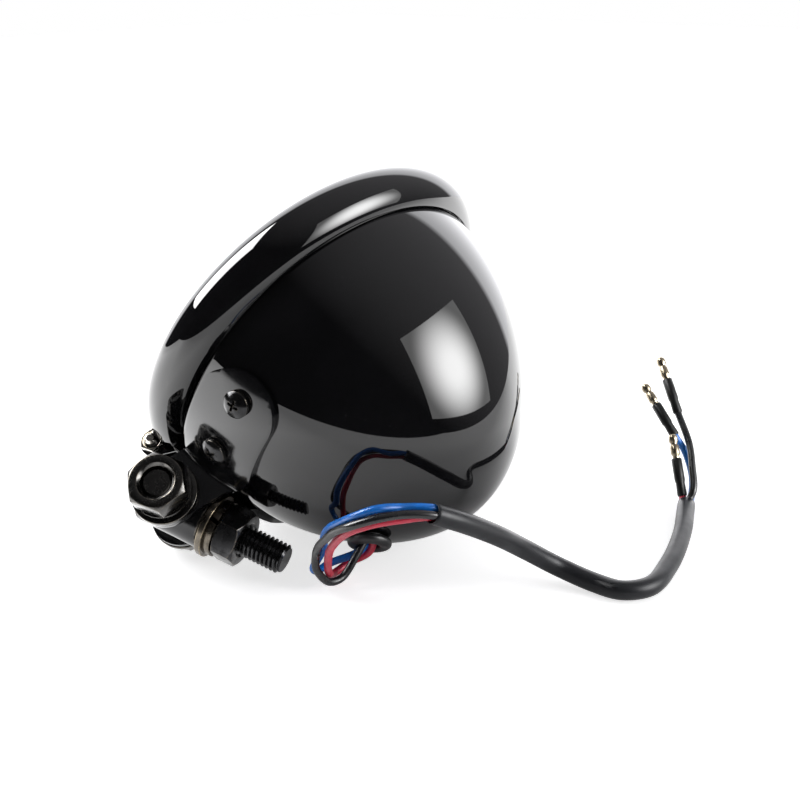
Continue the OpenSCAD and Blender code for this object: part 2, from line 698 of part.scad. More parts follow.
// Stud with a run-out groove where its free end starts
module stud() {
    length = stud_l - stud_in_s - fit;
    groove = stud_nut_s + nut_h + washer_gap - stud_in_s - fit;
    color("black") lay_down() on_stud(stud_in_s + fit) difference() {
        shank(thread_d - 2*bore_fit, length, 1);
        rotate_extrude($fn = 48) translate([thread_d/2 - runout_h, groove]) square([thread_d, runout_w]);
    }
}

module stud_washer() {
    color("dimgray") lay_down() on_stud(stud_washer_s) washer(stud_washer_d, thread_d + 0.2, washer_t);
}

module stud_spring_washer() {
    color("dimgray") lay_down() on_stud(stud_spring_s) spring_washer(spring_d, thread_d + 0.2, spring_t);
}

module stud_nut() {
    color("black") lay_down() on_stud(stud_nut_s) nut(nut_af, nut_h, thread_d);
}

module grommet() {
    bore_r = grommet_bore/2;
    outer_r = hole_d/2 + lip_w;
    round_r = lip_h/2;
    neck_r = hole_d/2 - 0.1;
    flange_h = bowl_wall + 1;
    color("dimgray") lay_down() at_bowl(0, hole_back) rotate_extrude($fn = 64) difference() {
        union() {
            translate([bore_r, -flange_h - 1.6]) square([outer_r - 0.4 - bore_r, 1.6]);
            translate([bore_r, -flange_h - 0.1]) square([neck_r - bore_r, flange_h + 1]);
            translate([bore_r + round_r, 0.1]) square([outer_r - bore_r - 2*round_r, lip_h]);
            translate([bore_r + round_r, 0.1 + round_r]) circle(r = round_r, $fn = 48);
            translate([outer_r - round_r, 0.1 + round_r]) circle(r = round_r, $fn = 48);
        }
        translate([-1, -10]) square([bore_r + 1, 20]);
    }
}

// Wire inside the lamp, from its place in the grommet to the back of the plug
// Share is how much of the room behind the plug the wire's bend takes
module inner_wire(place, x, share, shade) {
    back_y = plug_y + plug_l;
    room = bowl_depth - bowl_wall - back_y;
    end = [x, back_y + bore_fit, -inner_drop];
    path = [hole_point([place[0], place[1], 0]), hole_point([place[0], place[1], -7]),
        [0.7*x, back_y + (share - 0.08)*room, end[2] - 13], [0.9*x, back_y + share*room, end[2] - 5],
        [x, back_y + 0.2*room, end[2]], end];
    color(shade) tube([for (p = path) laid(p)], wire_r, laid_way(hole_way([0, 0, -1])),
        laid_way([0, -1, 0]));
}

module inner_blue() {
    inner_wire(blue_place, -inner_pitch, 0.36, "blue");
}

module inner_black() {
    inner_wire(black_place, inner_pitch, 0.36, "black");
}

module inner_red() {
    inner_wire(red_place, 0, 0.54, "red");
}

// Wire from the sleeve's first end, in a free loop and over the lip into the grommet
module lead_wire(route, entry, place, turn, shade) {
    way = unit(sleeve_route[0] - sleeve_route[1]);
    path = concat([bundle_point(sleeve_route[0], way, turn)], route,
        [for (p = concat(entry, [[place[0], place[1], 0]])) laid(hole_point(p))]);
    color(shade) tube(path, wire_r, way, laid_way(hole_way([0, 0, -1])));
}

module lead_blue() {
    lead_wire(blue_route, blue_entry, blue_place, 60, "blue");
}

module lead_black() {
    lead_wire(black_route, black_entry, black_place, 180, "black");
}

module lead_red() {
    lead_wire(red_route, red_entry, red_place, 300, "red");
}

module sleeve() {
    last = len(sleeve_route) - 1;
    color("dimgray") tube(sleeve_route, sleeve_d/2, sleeve_route[1] - sleeve_route[0],
        sleeve_route[last] - sleeve_route[last - 1], 12);
}

// Wire from the sleeve's far end to its insulator
module tail_wire(route, way, turn, shade) {
    last = len(sleeve_route) - 1;
    out = unit(sleeve_route[last] - sleeve_route[last - 1]);
    color(shade) tube(concat([bundle_point(sleeve_route[last], out, turn)], route), wire_r, out, way);
}

module tail_blue() {
    tail_wire(tail_blue_route, blue_way, 300, "blue");
}

module tail_black() {
    tail_wire(tail_black_route, black_way, 60, "black");
}

module tail_red() {
    tail_wire(tail_red_route, red_way, 180, "red");
}

// Stands at the three tails' ends, a distance beyond them
module at_tails(beyond) {
    ends = [[tail_blue_route, blue_way], [tail_black_route, black_way], [tail_red_route, red_way]];
    for (e = ends) aim(e[0][len(e[0]) - 1] + beyond*unit(e[1]), e[1]) children();
}

module insulators() {
    color("black") at_tails(0) cylinder(d = insulator_d, h = insulator_l, $fn = 32);
}

// Bullet terminals: a neck, a barrel with a groove and a round nose
module bullets() {
    r = bullet_d/2;
    groove_z = 0.62*bullet_l;
    color("goldenrod") at_tails(insulator_l) rotate_extrude($fn = 32) polygon(concat(
        [[0, 0], [r - 0.4, 0], [r - 0.4, 1.2], [r, 1.6], [r, groove_z - 0.7], [r - 0.35, groove_z - 0.3],
            [r - 0.35, groove_z + 0.3], [r, groove_z + 0.7]],
        [for (a = [0:15:90]) [r*cos(a), bullet_l - r + r*sin(a)]]));
}

shell();
trim_ring();
clamp_screw();
clamp_nut();
lens();
lens_seal();
reflector();
bulb_glass();
bulb_filaments();
bulb_base();
bulb_contacts();
bulb_clip();
bulb_boot();
bulb_plug();
bracket_left();
bracket_right();
bracket_screws();
bracket_nuts();
cross_bolt();
cross_washers();
cross_spring_washer();
cross_nut();
swivel_block();
stud();
stud_washer();
stud_spring_washer();
stud_nut();
grommet();
inner_blue();
inner_black();
inner_red();
lead_blue();
lead_black();
lead_red();
sleeve();
tail_blue();
tail_black();
tail_red();
insulators();
bullets();
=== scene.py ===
"""Round motorcycle headlight: the looks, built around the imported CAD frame.

Pieces are modelled upright in millimetres, in the lamp's own axes (+X its left, +Y its back,
+Z up, the origin on its axis in the plane of the trim ring's rear edge), and then laid down
in metres where the CAD frame has them.
"""

import math
from types import SimpleNamespace

import bmesh
import bpy
from bpy.props import FloatProperty, FloatVectorProperty, PointerProperty
from mathutils import Matrix, Vector


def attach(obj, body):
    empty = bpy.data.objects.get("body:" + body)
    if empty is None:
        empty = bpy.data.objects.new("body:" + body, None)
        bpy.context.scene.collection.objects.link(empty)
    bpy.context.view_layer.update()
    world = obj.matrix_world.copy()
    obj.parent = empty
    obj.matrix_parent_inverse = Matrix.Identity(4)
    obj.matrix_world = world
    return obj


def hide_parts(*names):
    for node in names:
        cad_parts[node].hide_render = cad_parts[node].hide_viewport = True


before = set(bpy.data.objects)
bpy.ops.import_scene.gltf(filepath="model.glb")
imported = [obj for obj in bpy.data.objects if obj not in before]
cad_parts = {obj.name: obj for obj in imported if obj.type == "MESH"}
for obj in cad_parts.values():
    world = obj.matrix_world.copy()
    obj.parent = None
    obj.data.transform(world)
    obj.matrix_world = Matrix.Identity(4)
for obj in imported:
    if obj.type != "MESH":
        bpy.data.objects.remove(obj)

bl_info = {
    "name": "Round Motorcycle Headlight",
    "version": (1, 0, 0),
    "blender": (4, 5, 0),
    "location": "3D View > Sidebar > Headlight",
    "description": "Dresses the CAD frame of a bullet headlight with detailed pieces and finishes",
    "category": "Object",
}

LAMP = "lamp"
STUD = "stud_mount"
FULL_TURN = 2 * math.pi


# Sizes and colours


def length(label, millimetres, text):
    return FloatProperty(
        name=label, description=text, default=millimetres / 1000, min=0.0, precision=4, unit="LENGTH"
    )


def angle(label, degrees, text):
    return FloatProperty(name=label, description=text, default=math.radians(degrees), unit="ROTATION")


def colour(label, rgb, text):
    return FloatVectorProperty(
        name=label, description=text, default=rgb, size=3, min=0.0, max=1.0, subtype="COLOR"
    )


class HeadlightSizes(bpy.types.PropertyGroup):
    bowl_r: length("Bowl radius", 59, "Outer radius of the bowl where it enters the trim ring")
    bowl_depth: length("Bowl depth", 74, "Depth of the bowl behind the trim ring")
    bowl_wall: length("Bowl wall", 1, "Wall of the pressed bowl")
    bead_r: length("Bead radius", 2, "Radius of the rolled bead at the bowl's mouth")
    ring_over: length("Ring overhang", 7, "How far the trim ring stands out beyond the bowl")
    ring_roll_r: length("Ring roll", 9, "Outer radius of the ring's rolled section")
    ring_wall: length("Ring wall", 1.2, "Wall of the rolled ring")
    ring_gap: length("Ring gap", 0.4, "Gap between the ring's rear edge and the bowl")
    ring_lap: length("Ring lap", 4.8, "How far the ring's mouth lies inside the bowl's radius")
    split_w: length("Ring split", 4, "Width of the split at the bottom of the ring")
    lug_t: length("Lug thickness", 2, "Thickness of each clamping lug")
    lug_r: length("Lug radius", 4.4, "Radius of a lug's round end")
    lens_t: length("Lens thickness", 4, "Thickness of the glass")
    lens_bulge: length("Lens bulge", 12, "How far the lens stands out at its middle")
    focal_l: length("Focal length", 24, "Focal length of the reflector")
    bulb_hole_r: length("Bulb hole", 19, "Radius of the bulb hole in the reflector")
    glass_r: length("Bulb radius", 8.5, "Radius of the bulb's glass tube")
    bulb_tip_gap: length("Bulb gap", 4, "Distance from the bulb's tip to the lens")
    plate_t: length("Plate thickness", 2.5, "Thickness of the bracket plates")
    ear_x: length("Ear distance", 12, "Distance from the middle to the outer face of an ear")
    ear_r: length("Ear radius", 10.2, "Radius of an ear's round end")
    fold_r: length("Fold radius", 2.6, "Bend radius of a bracket plate at its middle")
    flange_w: length("Flange width", 26, "Width of a bracket flange on the bowl")
    bolt_room: length("Bolt room", 1.5, "Room between the large washers and the bracket's flanges")
    bolt_back: length("Bolt distance", 11.4, "Distance of the cross bolt behind the ring")
    screw_back: length("Screw distance", 15.5, "Distance of the bracket screws behind the ring")
    stud_l: length("Stud reach", 41, "Distance from the cross bolt to the stud's end")
    thread_d: length("Thread", 10, "Thread diameter of the stud and the cross bolt")
    thread_pitch: length("Pitch", 1.5, "Pitch of the large threads")
    block_d: length("Block diameter", 17.8, "Diameter of the swivel block")
    block_l: length("Block length", 13.4, "Distance from the cross bolt to the block's far face")
    nut_af: length("Nut width", 17, "Width across the flats of the large nuts")
    nut_h: length("Nut height", 8, "Height of the large nuts")
    washer_d: length("Washer diameter", 21, "Diameter of the flat washers")
    washer_t: length("Washer thickness", 2, "Thickness of a flat washer")
    spring_t: length("Spring washer", 2.4, "Thickness of a spring washer")
    spring_d: length("Spring diameter", 18.4, "Outer diameter of a spring washer")
    small_d: length("Small thread", 4, "Thread diameter of the small screws")
    small_pitch: length("Small pitch", 0.7, "Pitch of the small threads")
    head_d: length("Head diameter", 8.4, "Head diameter of the bracket screws")
    head_h: length("Head height", 2.8, "Head height of the bracket screws")
    small_af: length("Small nut", 7, "Width across the flats of the small nuts")
    small_nut_h: length("Small nut height", 3.2, "Height of the small nuts")
    wire_d: length("Wire diameter", 2.5, "Diameter of one wire")
    sleeve_d: length("Sleeve diameter", 6.2, "Diameter of the sleeve over the wires")
    sleeve_wall: length("Sleeve wall", 0.32, "Wall of the sleeve")
    hole_ahead: length("Hole distance", 14, "Distance of the wire hole ahead of the bowl's end")
    hole_d: length("Hole diameter", 10, "Diameter of the wire hole")
    lip_h: length("Lip height", 3.3, "Depth of the grommet's lip outside the bowl")
    lip_w: length("Lip width", 2, "Width of the grommet's lip beyond the hole")
    insulator_l: length("Insulator length", 13.5, "Length of a bullet terminal's insulator")
    insulator_d: length("Insulator diameter", 3.6, "Diameter of a bullet terminal's insulator")
    bullet_l: length("Bullet length", 9, "Length of a bullet terminal")
    bullet_d: length("Bullet diameter", 3.2, "Diameter of a bullet terminal")


class HeadlightAngles(bpy.types.PropertyGroup):
    rest_tilt: angle("Rest tilt", 32.7, "How far the face tips up when the lamp lies down")
    rest_roll: angle("Rest roll", 55.2, "How far the lamp is rolled on to its right side")
    stud_angle: angle("Stud angle", 24, "Angle of the stud above the line straight back")
    flange_end: angle("Flange end", 54, "Angle of a flange's far end from the bowl's bottom")
    flange_mid: angle("Flange middle", 36, "Angle of a flange's middle from the bowl's bottom")


class HeadlightColours(bpy.types.PropertyGroup):
    paint: colour("Paint", (0.0035, 0.0035, 0.004), "Gloss black of the bowl, ring and bracket")
    hardware: colour("Dark hardware", (0.075, 0.073, 0.07), "Dark zinc plate of the cross bolt")
    black_steel: colour("Black steel", (0.045, 0.045, 0.047), "Blackened stud and its nut")
    worn_steel: colour("Worn edges", (0.30, 0.26, 0.20), "Bare steel at rubbed edges")
    nickel: colour("Nickel", (0.44, 0.42, 0.385), "Bright plating of the clamp screw")
    brass: colour("Bullet metal", (0.34, 0.29, 0.21), "Tinned brass of the bullet terminals")
    wire_blue: colour("Blue wire", (0.01, 0.19, 0.70), "Insulation of the blue wire")
    wire_black: colour("Black wire", (0.012, 0.012, 0.014), "Insulation of the black wire")
    wire_red: colour("Red wire", (0.76, 0.035, 0.08), "Insulation of the red wire")
    sleeve: colour("Sleeve", (0.022, 0.023, 0.026), "Soft plastic sleeve over the wires")
    floor: colour("Floor", (0.8, 0.8, 0.81), "Table top")


# Fixed allowances and lengths in millimetres, as in the CAD source
FIT = 0.2
SEAM = 0.05
SEAL_OVER = 1.6
SEAL_WALL = 1.3
SEAL_LIP = 1
DOME_PLAY = 0.2
REFLECTOR_STEP = 1.5
REFLECTOR_WALL = 0.8
COLLAR_L = 5
PLATE_GAP = 0.1
FLANGE_BACK = 15.3
HEAD_T = 6.8
BOLT_SHORT = 1.5
BLOCK_GAP = 0.6
BLOCK_END = 9.5
STUD_SEAT = 1.5
LUG_OUT = 0.8
NOTCH_PLAY = 2.4
SCREW_PLAY = 0.3
SCREW_SEAT = 0.35
BORE_PLAY = 0.7
THREAD_PLAY = 0.1


def millimetres():
    """The sizes in millimetres, with the places that follow from them, as in the CAD source."""
    props = bpy.context.scene.headlight_sizes
    s = SimpleNamespace(**{k: 1000 * getattr(props, k) for k in HeadlightSizes.__annotations__})
    angles = bpy.context.scene.headlight_angles
    for key in HeadlightAngles.__annotations__:
        setattr(s, key, getattr(angles, key))
    ring_r = s.bowl_r + s.ring_over
    s.ring_mouth_r = s.bowl_r - s.ring_lap
    s.ring_mid_r = ring_r - s.ring_roll_r
    s.ring_mid_y = -s.ring_roll_r
    s.ring_thin_r = s.ring_roll_r - s.ring_wall
    s.bead_mid_r = s.bowl_r + s.bead_r - s.bowl_wall
    reach = s.ring_thin_r - s.bead_r - FIT
    s.bead_mid_y = s.ring_mid_y + math.sqrt(reach**2 - (s.bead_mid_r - s.ring_mid_r) ** 2)
    seal_r = s.ring_mid_r + SEAL_OVER
    seal_front_y = s.ring_mid_y - math.sqrt(s.ring_thin_r**2 - SEAL_OVER**2) + FIT
    s.lens_rim_r = seal_r - SEAL_WALL
    lens_back_y = seal_front_y + SEAL_LIP + SEAM + s.lens_t
    s.reflector_y = lens_back_y + SEAM
    s.reflector_rim_r = s.ring_mouth_r + DOME_PLAY - REFLECTOR_STEP
    s.reflector_apex_y = s.reflector_y + s.reflector_rim_r**2 / (4 * s.focal_l)
    s.collar_y = s.reflector_apex_y - s.bulb_hole_r**2 / (4 * s.focal_l) + COLLAR_L
    s.flange_y = s.collar_y + FIT
    s.glass_l = s.flange_y - (lens_back_y - s.lens_bulge + s.bulb_tip_gap)
    s.bolt_drop = s.bowl_r + PLATE_GAP + s.plate_t + s.washer_d / 2 + s.bolt_room
    s.hole_back = s.bowl_depth - s.hole_ahead
    s.lug_mid_z = ring_r + LUG_OUT
    s.lug_root_r = s.bead_mid_r + s.bead_r + FIT
    s.lug_out_x = s.split_w / 2 + s.lug_t
    s.near_washer_x = s.ear_x + SEAM
    s.near_spring_x = s.near_washer_x + s.washer_t + SEAM
    s.near_nut_x = s.near_spring_x + s.spring_t + SEAM
    s.bolt_end_x = s.near_nut_x + s.nut_h - BOLT_SHORT
    s.stud_washer_s = s.block_l + BLOCK_GAP
    s.stud_spring_s = s.stud_washer_s + s.washer_t + SEAM
    s.stud_nut_s = s.stud_spring_s + s.spring_t + SEAM
    s.stud_in_s = s.thread_d / 2 + STUD_SEAT + FIT
    s.thread_bore = s.thread_d + 2 * THREAD_PLAY
    s.wire_r = s.wire_d / 2
    s.bundle_r = 1.2 * s.wire_r
    s.grommet_bore = 2 * (s.bundle_r + s.wire_r) + BORE_PLAY
    return s


# Powers that round the bowl's outline: along its depth and along its radius
BOWL_N = 1.8
BOWL_M = 1.9
# Where the lamp's origin lies on the table in millimetres, and the steps that find its height
REST_PLACE = Vector((-7.6, -10.7, 0))
REST_STEPS = 24
# Angles of the bracket screws from the bowl's bottom in degrees
SCREW_ANGLES = (26, 46)
# Smallest distance in millimetres at which points stay apart
MERGE = 1e-4


def bowl_outline(r, d, steps=72):
    """Outline of the bowl from its apex to its mouth, as (radius, distance back)."""
    turns = [math.pi / 2 * i / steps for i in range(steps, -1, -1)]
    return [(r * max(math.cos(a), 0) ** (2 / BOWL_M), d * math.sin(a) ** (2 / BOWL_N))
            for a in turns[1:]]


def radius_at(back, r, d):
    return r * (1 - (back / d) ** BOWL_N) ** (1 / BOWL_M)


def lean_at(back, s):
    near = radius_at(back - 0.5, s.bowl_r, s.bowl_depth)
    return math.atan(near - radius_at(back + 0.5, s.bowl_r, s.bowl_depth))


# Places


def lamp_place(s):
    """Matrix from the upright lamp in millimetres to the lamp at rest in metres."""
    side = math.cos(s.rest_tilt)
    up = math.sin(s.rest_tilt)
    height = max(r * side + y * up for r, y in bowl_outline(s.bowl_r, s.bowl_depth, REST_STEPS))
    place = REST_PLACE + Vector((0, 0, height))
    turn = Matrix.Rotation(-s.rest_tilt, 4, "X") @ Matrix.Rotation(-s.rest_roll, 4, "Y")
    return Matrix.Scale(0.001, 4) @ Matrix.Translation(place) @ turn


def lathe_place(s):
    """For outlines of (radius, distance back) turned about the lamp's axis."""
    return lamp_place(s) @ Matrix.Rotation(-math.pi / 2, 4, "X")


def bowl_place(s, theta, back, lift=0.0):
    """Stands on the bowl's surface with Z along its outward normal."""
    r = radius_at(back, s.bowl_r, s.bowl_depth)
    spot = Matrix.Translation((r * math.sin(theta), back, -r * math.cos(theta)))
    turn = Matrix.Rotation(math.pi - theta, 4, "Y") @ Matrix.Rotation(-lean_at(back, s), 4, "X")
    return lamp_place(s) @ spot @ turn @ Matrix.Translation((0, 0, lift))


def bolt_place(s, x):
    spot = Matrix.Translation((x, s.bolt_back, -s.bolt_drop))
    return lamp_place(s) @ spot @ Matrix.Rotation(math.pi / 2, 4, "Y")


def stud_place(s, along):
    spot = Matrix.Translation((0, s.bolt_back, -s.bolt_drop))
    turn = Matrix.Rotation(s.stud_angle - math.pi / 2, 4, "X")
    return lamp_place(s) @ spot @ turn @ Matrix.Translation((0, 0, along))


def aimed_place(point, way):
    """Stands at a point of the frame, in millimetres, with Z along a way."""
    way = Vector(way).normalized()
    round_z = Matrix.Rotation(math.atan2(way.y, way.x), 4, "Z")
    turn = round_z @ Matrix.Rotation(math.acos(way.z), 4, "Y")
    return Matrix.Scale(0.001, 4) @ Matrix.Translation(point) @ turn


# Mesh tools


def arc(cx, cy, r, start, end, steps):
    """Points on a circle from one angle to another, in degrees."""
    turns = [math.radians(start + (end - start) * i / steps) for i in range(steps + 1)]
    return [(cx + r * math.cos(a), cy + r * math.sin(a)) for a in turns]


def turned(outline, steps=96, closed=True, turn=FULL_TURN, rise=0.0):
    """Spins an outline of (radius, height) points about Z."""
    bm = bmesh.new()
    verts = [bm.verts.new((r, 0, h)) for r, h in outline]
    edges = [bm.edges.new(pair) for pair in zip(verts, verts[1:])]
    if closed:
        edges.append(bm.edges.new((verts[-1], verts[0])))
    whole = abs(turn - FULL_TURN) < 1e-6
    bmesh.ops.spin(
        bm, geom=verts + edges, cent=(0, 0, 0), axis=(0, 0, 1), dvec=(0, 0, rise / steps),
        angle=turn, steps=steps, use_merge=whole and not rise,
    )
    bmesh.ops.remove_doubles(bm, verts=bm.verts, dist=MERGE)
    fill_ends(bm)
    return bm


def fill_ends(bm):
    """Closes open rims and points all faces outwards."""
    rims = [e for e in bm.edges if e.is_boundary]
    if rims:
        bmesh.ops.holes_fill(bm, edges=rims)
    bmesh.ops.recalc_face_normals(bm, faces=bm.faces)


def sheet(outline, thickness):
    """Flat plate of (x, y) points from z = 0 up."""
    bm = bmesh.new()
    face = bm.faces.new([bm.verts.new((x, y, 0)) for x, y in outline])
    lifted = bmesh.ops.extrude_face_region(bm, geom=[face])["geom"]
    verts = [v for v in lifted if isinstance(v, bmesh.types.BMVert)]
    bmesh.ops.translate(bm, verts=verts, vec=(0, 0, thickness))
    bmesh.ops.recalc_face_normals(bm, faces=bm.faces)
    return bm


def block(low, high):
    """Box between two corners."""
    bm = bmesh.new()
    bmesh.ops.create_cube(bm, size=1)
    low, high = Vector(low), Vector(high)
    bmesh.ops.scale(bm, verts=bm.verts, vec=high - low)
    bmesh.ops.translate(bm, verts=bm.verts, vec=(low + high) / 2)
    return bm


def rod(r, low, high, steps=48):
    return turned([(0, low), (r, low), (r, high), (0, high)], steps, closed=False)


def moved(bm, matrix):
    bmesh.ops.transform(bm, matrix=matrix, verts=bm.verts)
    return bm


def soften(bm, width, sharper=30, segments=2):
    """Rounds the sharp edges, and marks the new faces so that a finish can show wear there."""
    worn = bm.loops.layers.float.get("worn_edge") or bm.loops.layers.float.new("worn_edge")
    limit = math.radians(sharper)
    edges = [e for e in bm.edges if len(e.link_faces) == 2 and e.calc_face_angle(0) > limit]
    made = bmesh.ops.bevel(
        bm, geom=edges, offset=width, offset_type="OFFSET", segments=segments, profile=0.5,
        affect="EDGES", material=-1, clamp_overlap=True,
    )
    for face in made["faces"]:
        for loop in face.loops:
            loop[worn] = 1.0
    return bm


def loose_object(bm, name="tool"):
    mesh = bpy.data.meshes.new(name)
    bm.to_mesh(mesh)
    bm.free()
    obj = bpy.data.objects.new(name, mesh)
    bpy.context.scene.collection.objects.link(obj)
    return obj


def drop(obj):
    data = obj.data
    bpy.data.objects.remove(obj)
    (bpy.data.curves if isinstance(data, bpy.types.Curve) else bpy.data.meshes).remove(data)


def carved(bm, *cutters, operation="DIFFERENCE"):
    """The solid after a boolean with each cutter in turn."""
    host = loose_object(bm)
    tools = [loose_object(c) for c in cutters]
    for tool in tools:
        change = host.modifiers.new("carve", "BOOLEAN")
        change.operation = operation
        change.solver = "EXACT"
        change.object = tool
    mesh = bpy.data.meshes.new_from_object(host.evaluated_get(bpy.context.evaluated_depsgraph_get()))
    out = bmesh.new()
    out.from_mesh(mesh)
    bpy.data.meshes.remove(mesh)
    for obj in (host, *tools):
        drop(obj)
    bmesh.ops.remove_doubles(out, verts=out.verts, dist=MERGE)
    return out


def joined(*parts):
    """One bmesh of several, each moved by its matrix if it comes as (bmesh, matrix)."""
    out = bmesh.new()
    out.loops.layers.float.new("worn_edge")
    for part in parts:
        bm, matrix = part if isinstance(part, tuple) else (part, Matrix.Identity(4))
        mesh = bpy.data.meshes.new("joined")
        bm.to_mesh(mesh)
        mesh.transform(matrix)
        out.from_mesh(mesh)
        bpy.data.meshes.remove(mesh)
    return out


def piece(bm, name, body, finish, place, nodes=(), crease=32):
    """Lays a finished bmesh down as a piece that rides on a body and stands for CAD nodes."""
    moved(bm, place)
    if place.determinant() < 0:
        bmesh.ops.reverse_faces(bm, faces=bm.faces)
    limit = math.radians(crease)
    for face in bm.faces:
        face.smooth = True
    for edge in bm.edges:
        edge.smooth = edge.calc_face_angle(0) < limit
    obj = loose_object(bm, name)
    obj.data.materials.append(bpy.data.materials[finish])
    return settle(obj, body, nodes)


def settle(obj, body, nodes=()):
    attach(obj, body)
    if nodes:
        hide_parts(*nodes)
    return obj


def dress(node, finish):
    """Gives a CAD node that keeps its shape its finish."""
    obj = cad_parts[node]
    for i in range(len(obj.material_slots)):
        obj.material_slots[i].material = bpy.data.materials[finish]


# Fasteners


# Height of the cone that turns down a hexagon's corners, as a share of its width
HEAD_CONE = 0.16
NUT_CONE = 0.07


def hexagon(width, height, cone_share):
    """Hexagonal prism with its corners turned down to a cone at both ends."""
    corner = width / math.cos(math.pi / 6) / 2
    bm = bmesh.new()
    bmesh.ops.create_cone(
        bm, cap_ends=True, segments=6, radius1=corner, radius2=corner, depth=height,
        matrix=Matrix.Translation((0, 0, height / 2)) @ Matrix.Rotation(math.pi / 6, 4, "Z"),
    )
    flat, cone = width / 2 - 0.2, cone_share * width
    edge = corner + 0.1
    outline = [(0, 0), (flat, 0), (edge, cone), (edge, height - cone), (flat, height), (0, height)]
    return carved(bm, turned(outline, closed=False), operation="INTERSECT")


# Depth of a thread as a share of its pitch
THREAD_DEPTH = 0.6


def threaded(d, pitch, l, cone=0.9):
    """Rod from z = 0 up with a right-hand thread and a cone at its end."""
    crest, root = d / 2, d / 2 - THREAD_DEPTH * pitch
    outline = [(root, 0), (root, 0.14 * pitch), (crest, 0.45 * pitch), (crest, 0.58 * pitch),
               (root, 0.88 * pitch), (root, pitch)]
    turns = math.ceil(l / pitch) + 2
    bm = bmesh.new()
    verts = [bm.verts.new((r, 0, h - pitch)) for r, h in outline]
    edges = [bm.edges.new(pair) for pair in zip(verts, verts[1:])]
    steps = 40 * turns
    bmesh.ops.spin(bm, geom=verts + edges, cent=(0, 0, 0), axis=(0, 0, 1),
                   dvec=(0, 0, pitch * turns / steps), angle=FULL_TURN * turns, steps=steps)
    bmesh.ops.remove_doubles(bm, verts=bm.verts, dist=1e-3)
    for height, way in ((0, -1), (l, 1)):
        bmesh.ops.bisect_plane(bm, geom=bm.verts[:] + bm.edges[:] + bm.faces[:], dist=1e-4,
                               plane_co=(0, 0, height), plane_no=(0, 0, way), clear_outer=True)
    for v in bm.verts:
        limit = crest - max(0.0, v.co.z - (l - cone))
        r = math.hypot(v.co.x, v.co.y)
        if r > limit:
            v.co.x *= limit / r
            v.co.y *= limit / r
    fill_ends(bm)
    return bm


def nut(width, height, bore):
    """Hexagon nut with countersunk bore."""
    r = bore / 2
    core = [(0, -1), (r + 2, -1), (r, 1), (r, height - 1), (r + 2, height + 1), (0, height + 1)]
    return soften(carved(hexagon(width, height, NUT_CONE), turned(core, 64, closed=False)), 0.22)


def flat_washer(outer, bore, thickness):
    outline = [(bore / 2, 0), (outer / 2, 0), (outer / 2, thickness), (bore / 2, thickness)]
    return soften(turned(outline, 96), 0.25, 60, 3)


def spring_washer(outer, bore, thickness):
    """Square-section ring with a slanted split."""
    half_split, slant = 0.7, Matrix.Rotation(-0.24, 4, "X")
    cut = moved(block((0, -half_split, -thickness), (outer, half_split, 3 * thickness)), slant)
    outline = [(bore / 2, 0), (outer / 2, 0), (outer / 2, thickness), (bore / 2, thickness)]
    return soften(carved(turned(outline, 96), cut), 0.2, 60)


def pan_head(d, h):
    """Domed head with a cross recess that narrows downwards, seated at z = 0."""
    ball, recess, long_half, thin_half = 0.75 * d, 1.5, 0.30 * d, 0.065 * d
    rim = math.degrees(math.acos(d / 2 / ball))
    dome = arc(0, h - ball, ball, rim, 90, 12)
    bm = soften(turned([(0, 0), (d / 2, 0), *dome], 72, closed=False), 0.25, 50, 3)
    slots = []
    for quarter in (45, 135):
        tool = block((-long_half, -thin_half, h - recess), (long_half, thin_half, h + 2))
        for v in tool.verts:
            if v.co.z < h:
                v.co.x *= 0.62
                v.co.y *= 0.7
        slots.append(moved(tool, Matrix.Rotation(math.radians(quarter), 4, "Z")))
    return soften(carved(bm, *slots), 0.08, 45, 2)


# Finishes


def node_group(name, inputs, outputs):
    """An empty shader group with named float or colour sockets; returns it and its two ends."""
    tree = bpy.data.node_groups.new(name, "ShaderNodeTree")
    for label, kind, default in inputs:
        socket = tree.interface.new_socket(label, in_out="INPUT", socket_type="NodeSocket" + kind)
        socket.default_value = default
    for label, kind in outputs:
        tree.interface.new_socket(label, in_out="OUTPUT", socket_type="NodeSocket" + kind)
    return tree, tree.nodes.new("NodeGroupInput"), tree.nodes.new("NodeGroupOutput")


def add(tree, kind, links=(), **values):
    """A node with its properties set and its inputs linked, as (input, output) pairs."""
    node = tree.nodes.new("ShaderNode" + kind)
    for key, value in values.items():
        setattr(node, key, value)
    for key, source in dict(links).items():
        if hasattr(source, "links"):
            tree.links.new(source, node.inputs[key])
        else:
            node.inputs[key].default_value = source
    return node


def product(tree, a, b):
    return add(tree, "Math", {0: a, 1: b}, operation="MULTIPLY").outputs[0]


def noise_of(tree, spot, scale, detail, roughness=0.5):
    """Height of a noise at a place."""
    return add(tree, "TexNoise", {"Vector": spot, "Scale": scale, "Detail": detail,
                                  "Roughness": roughness}).outputs["Fac"]


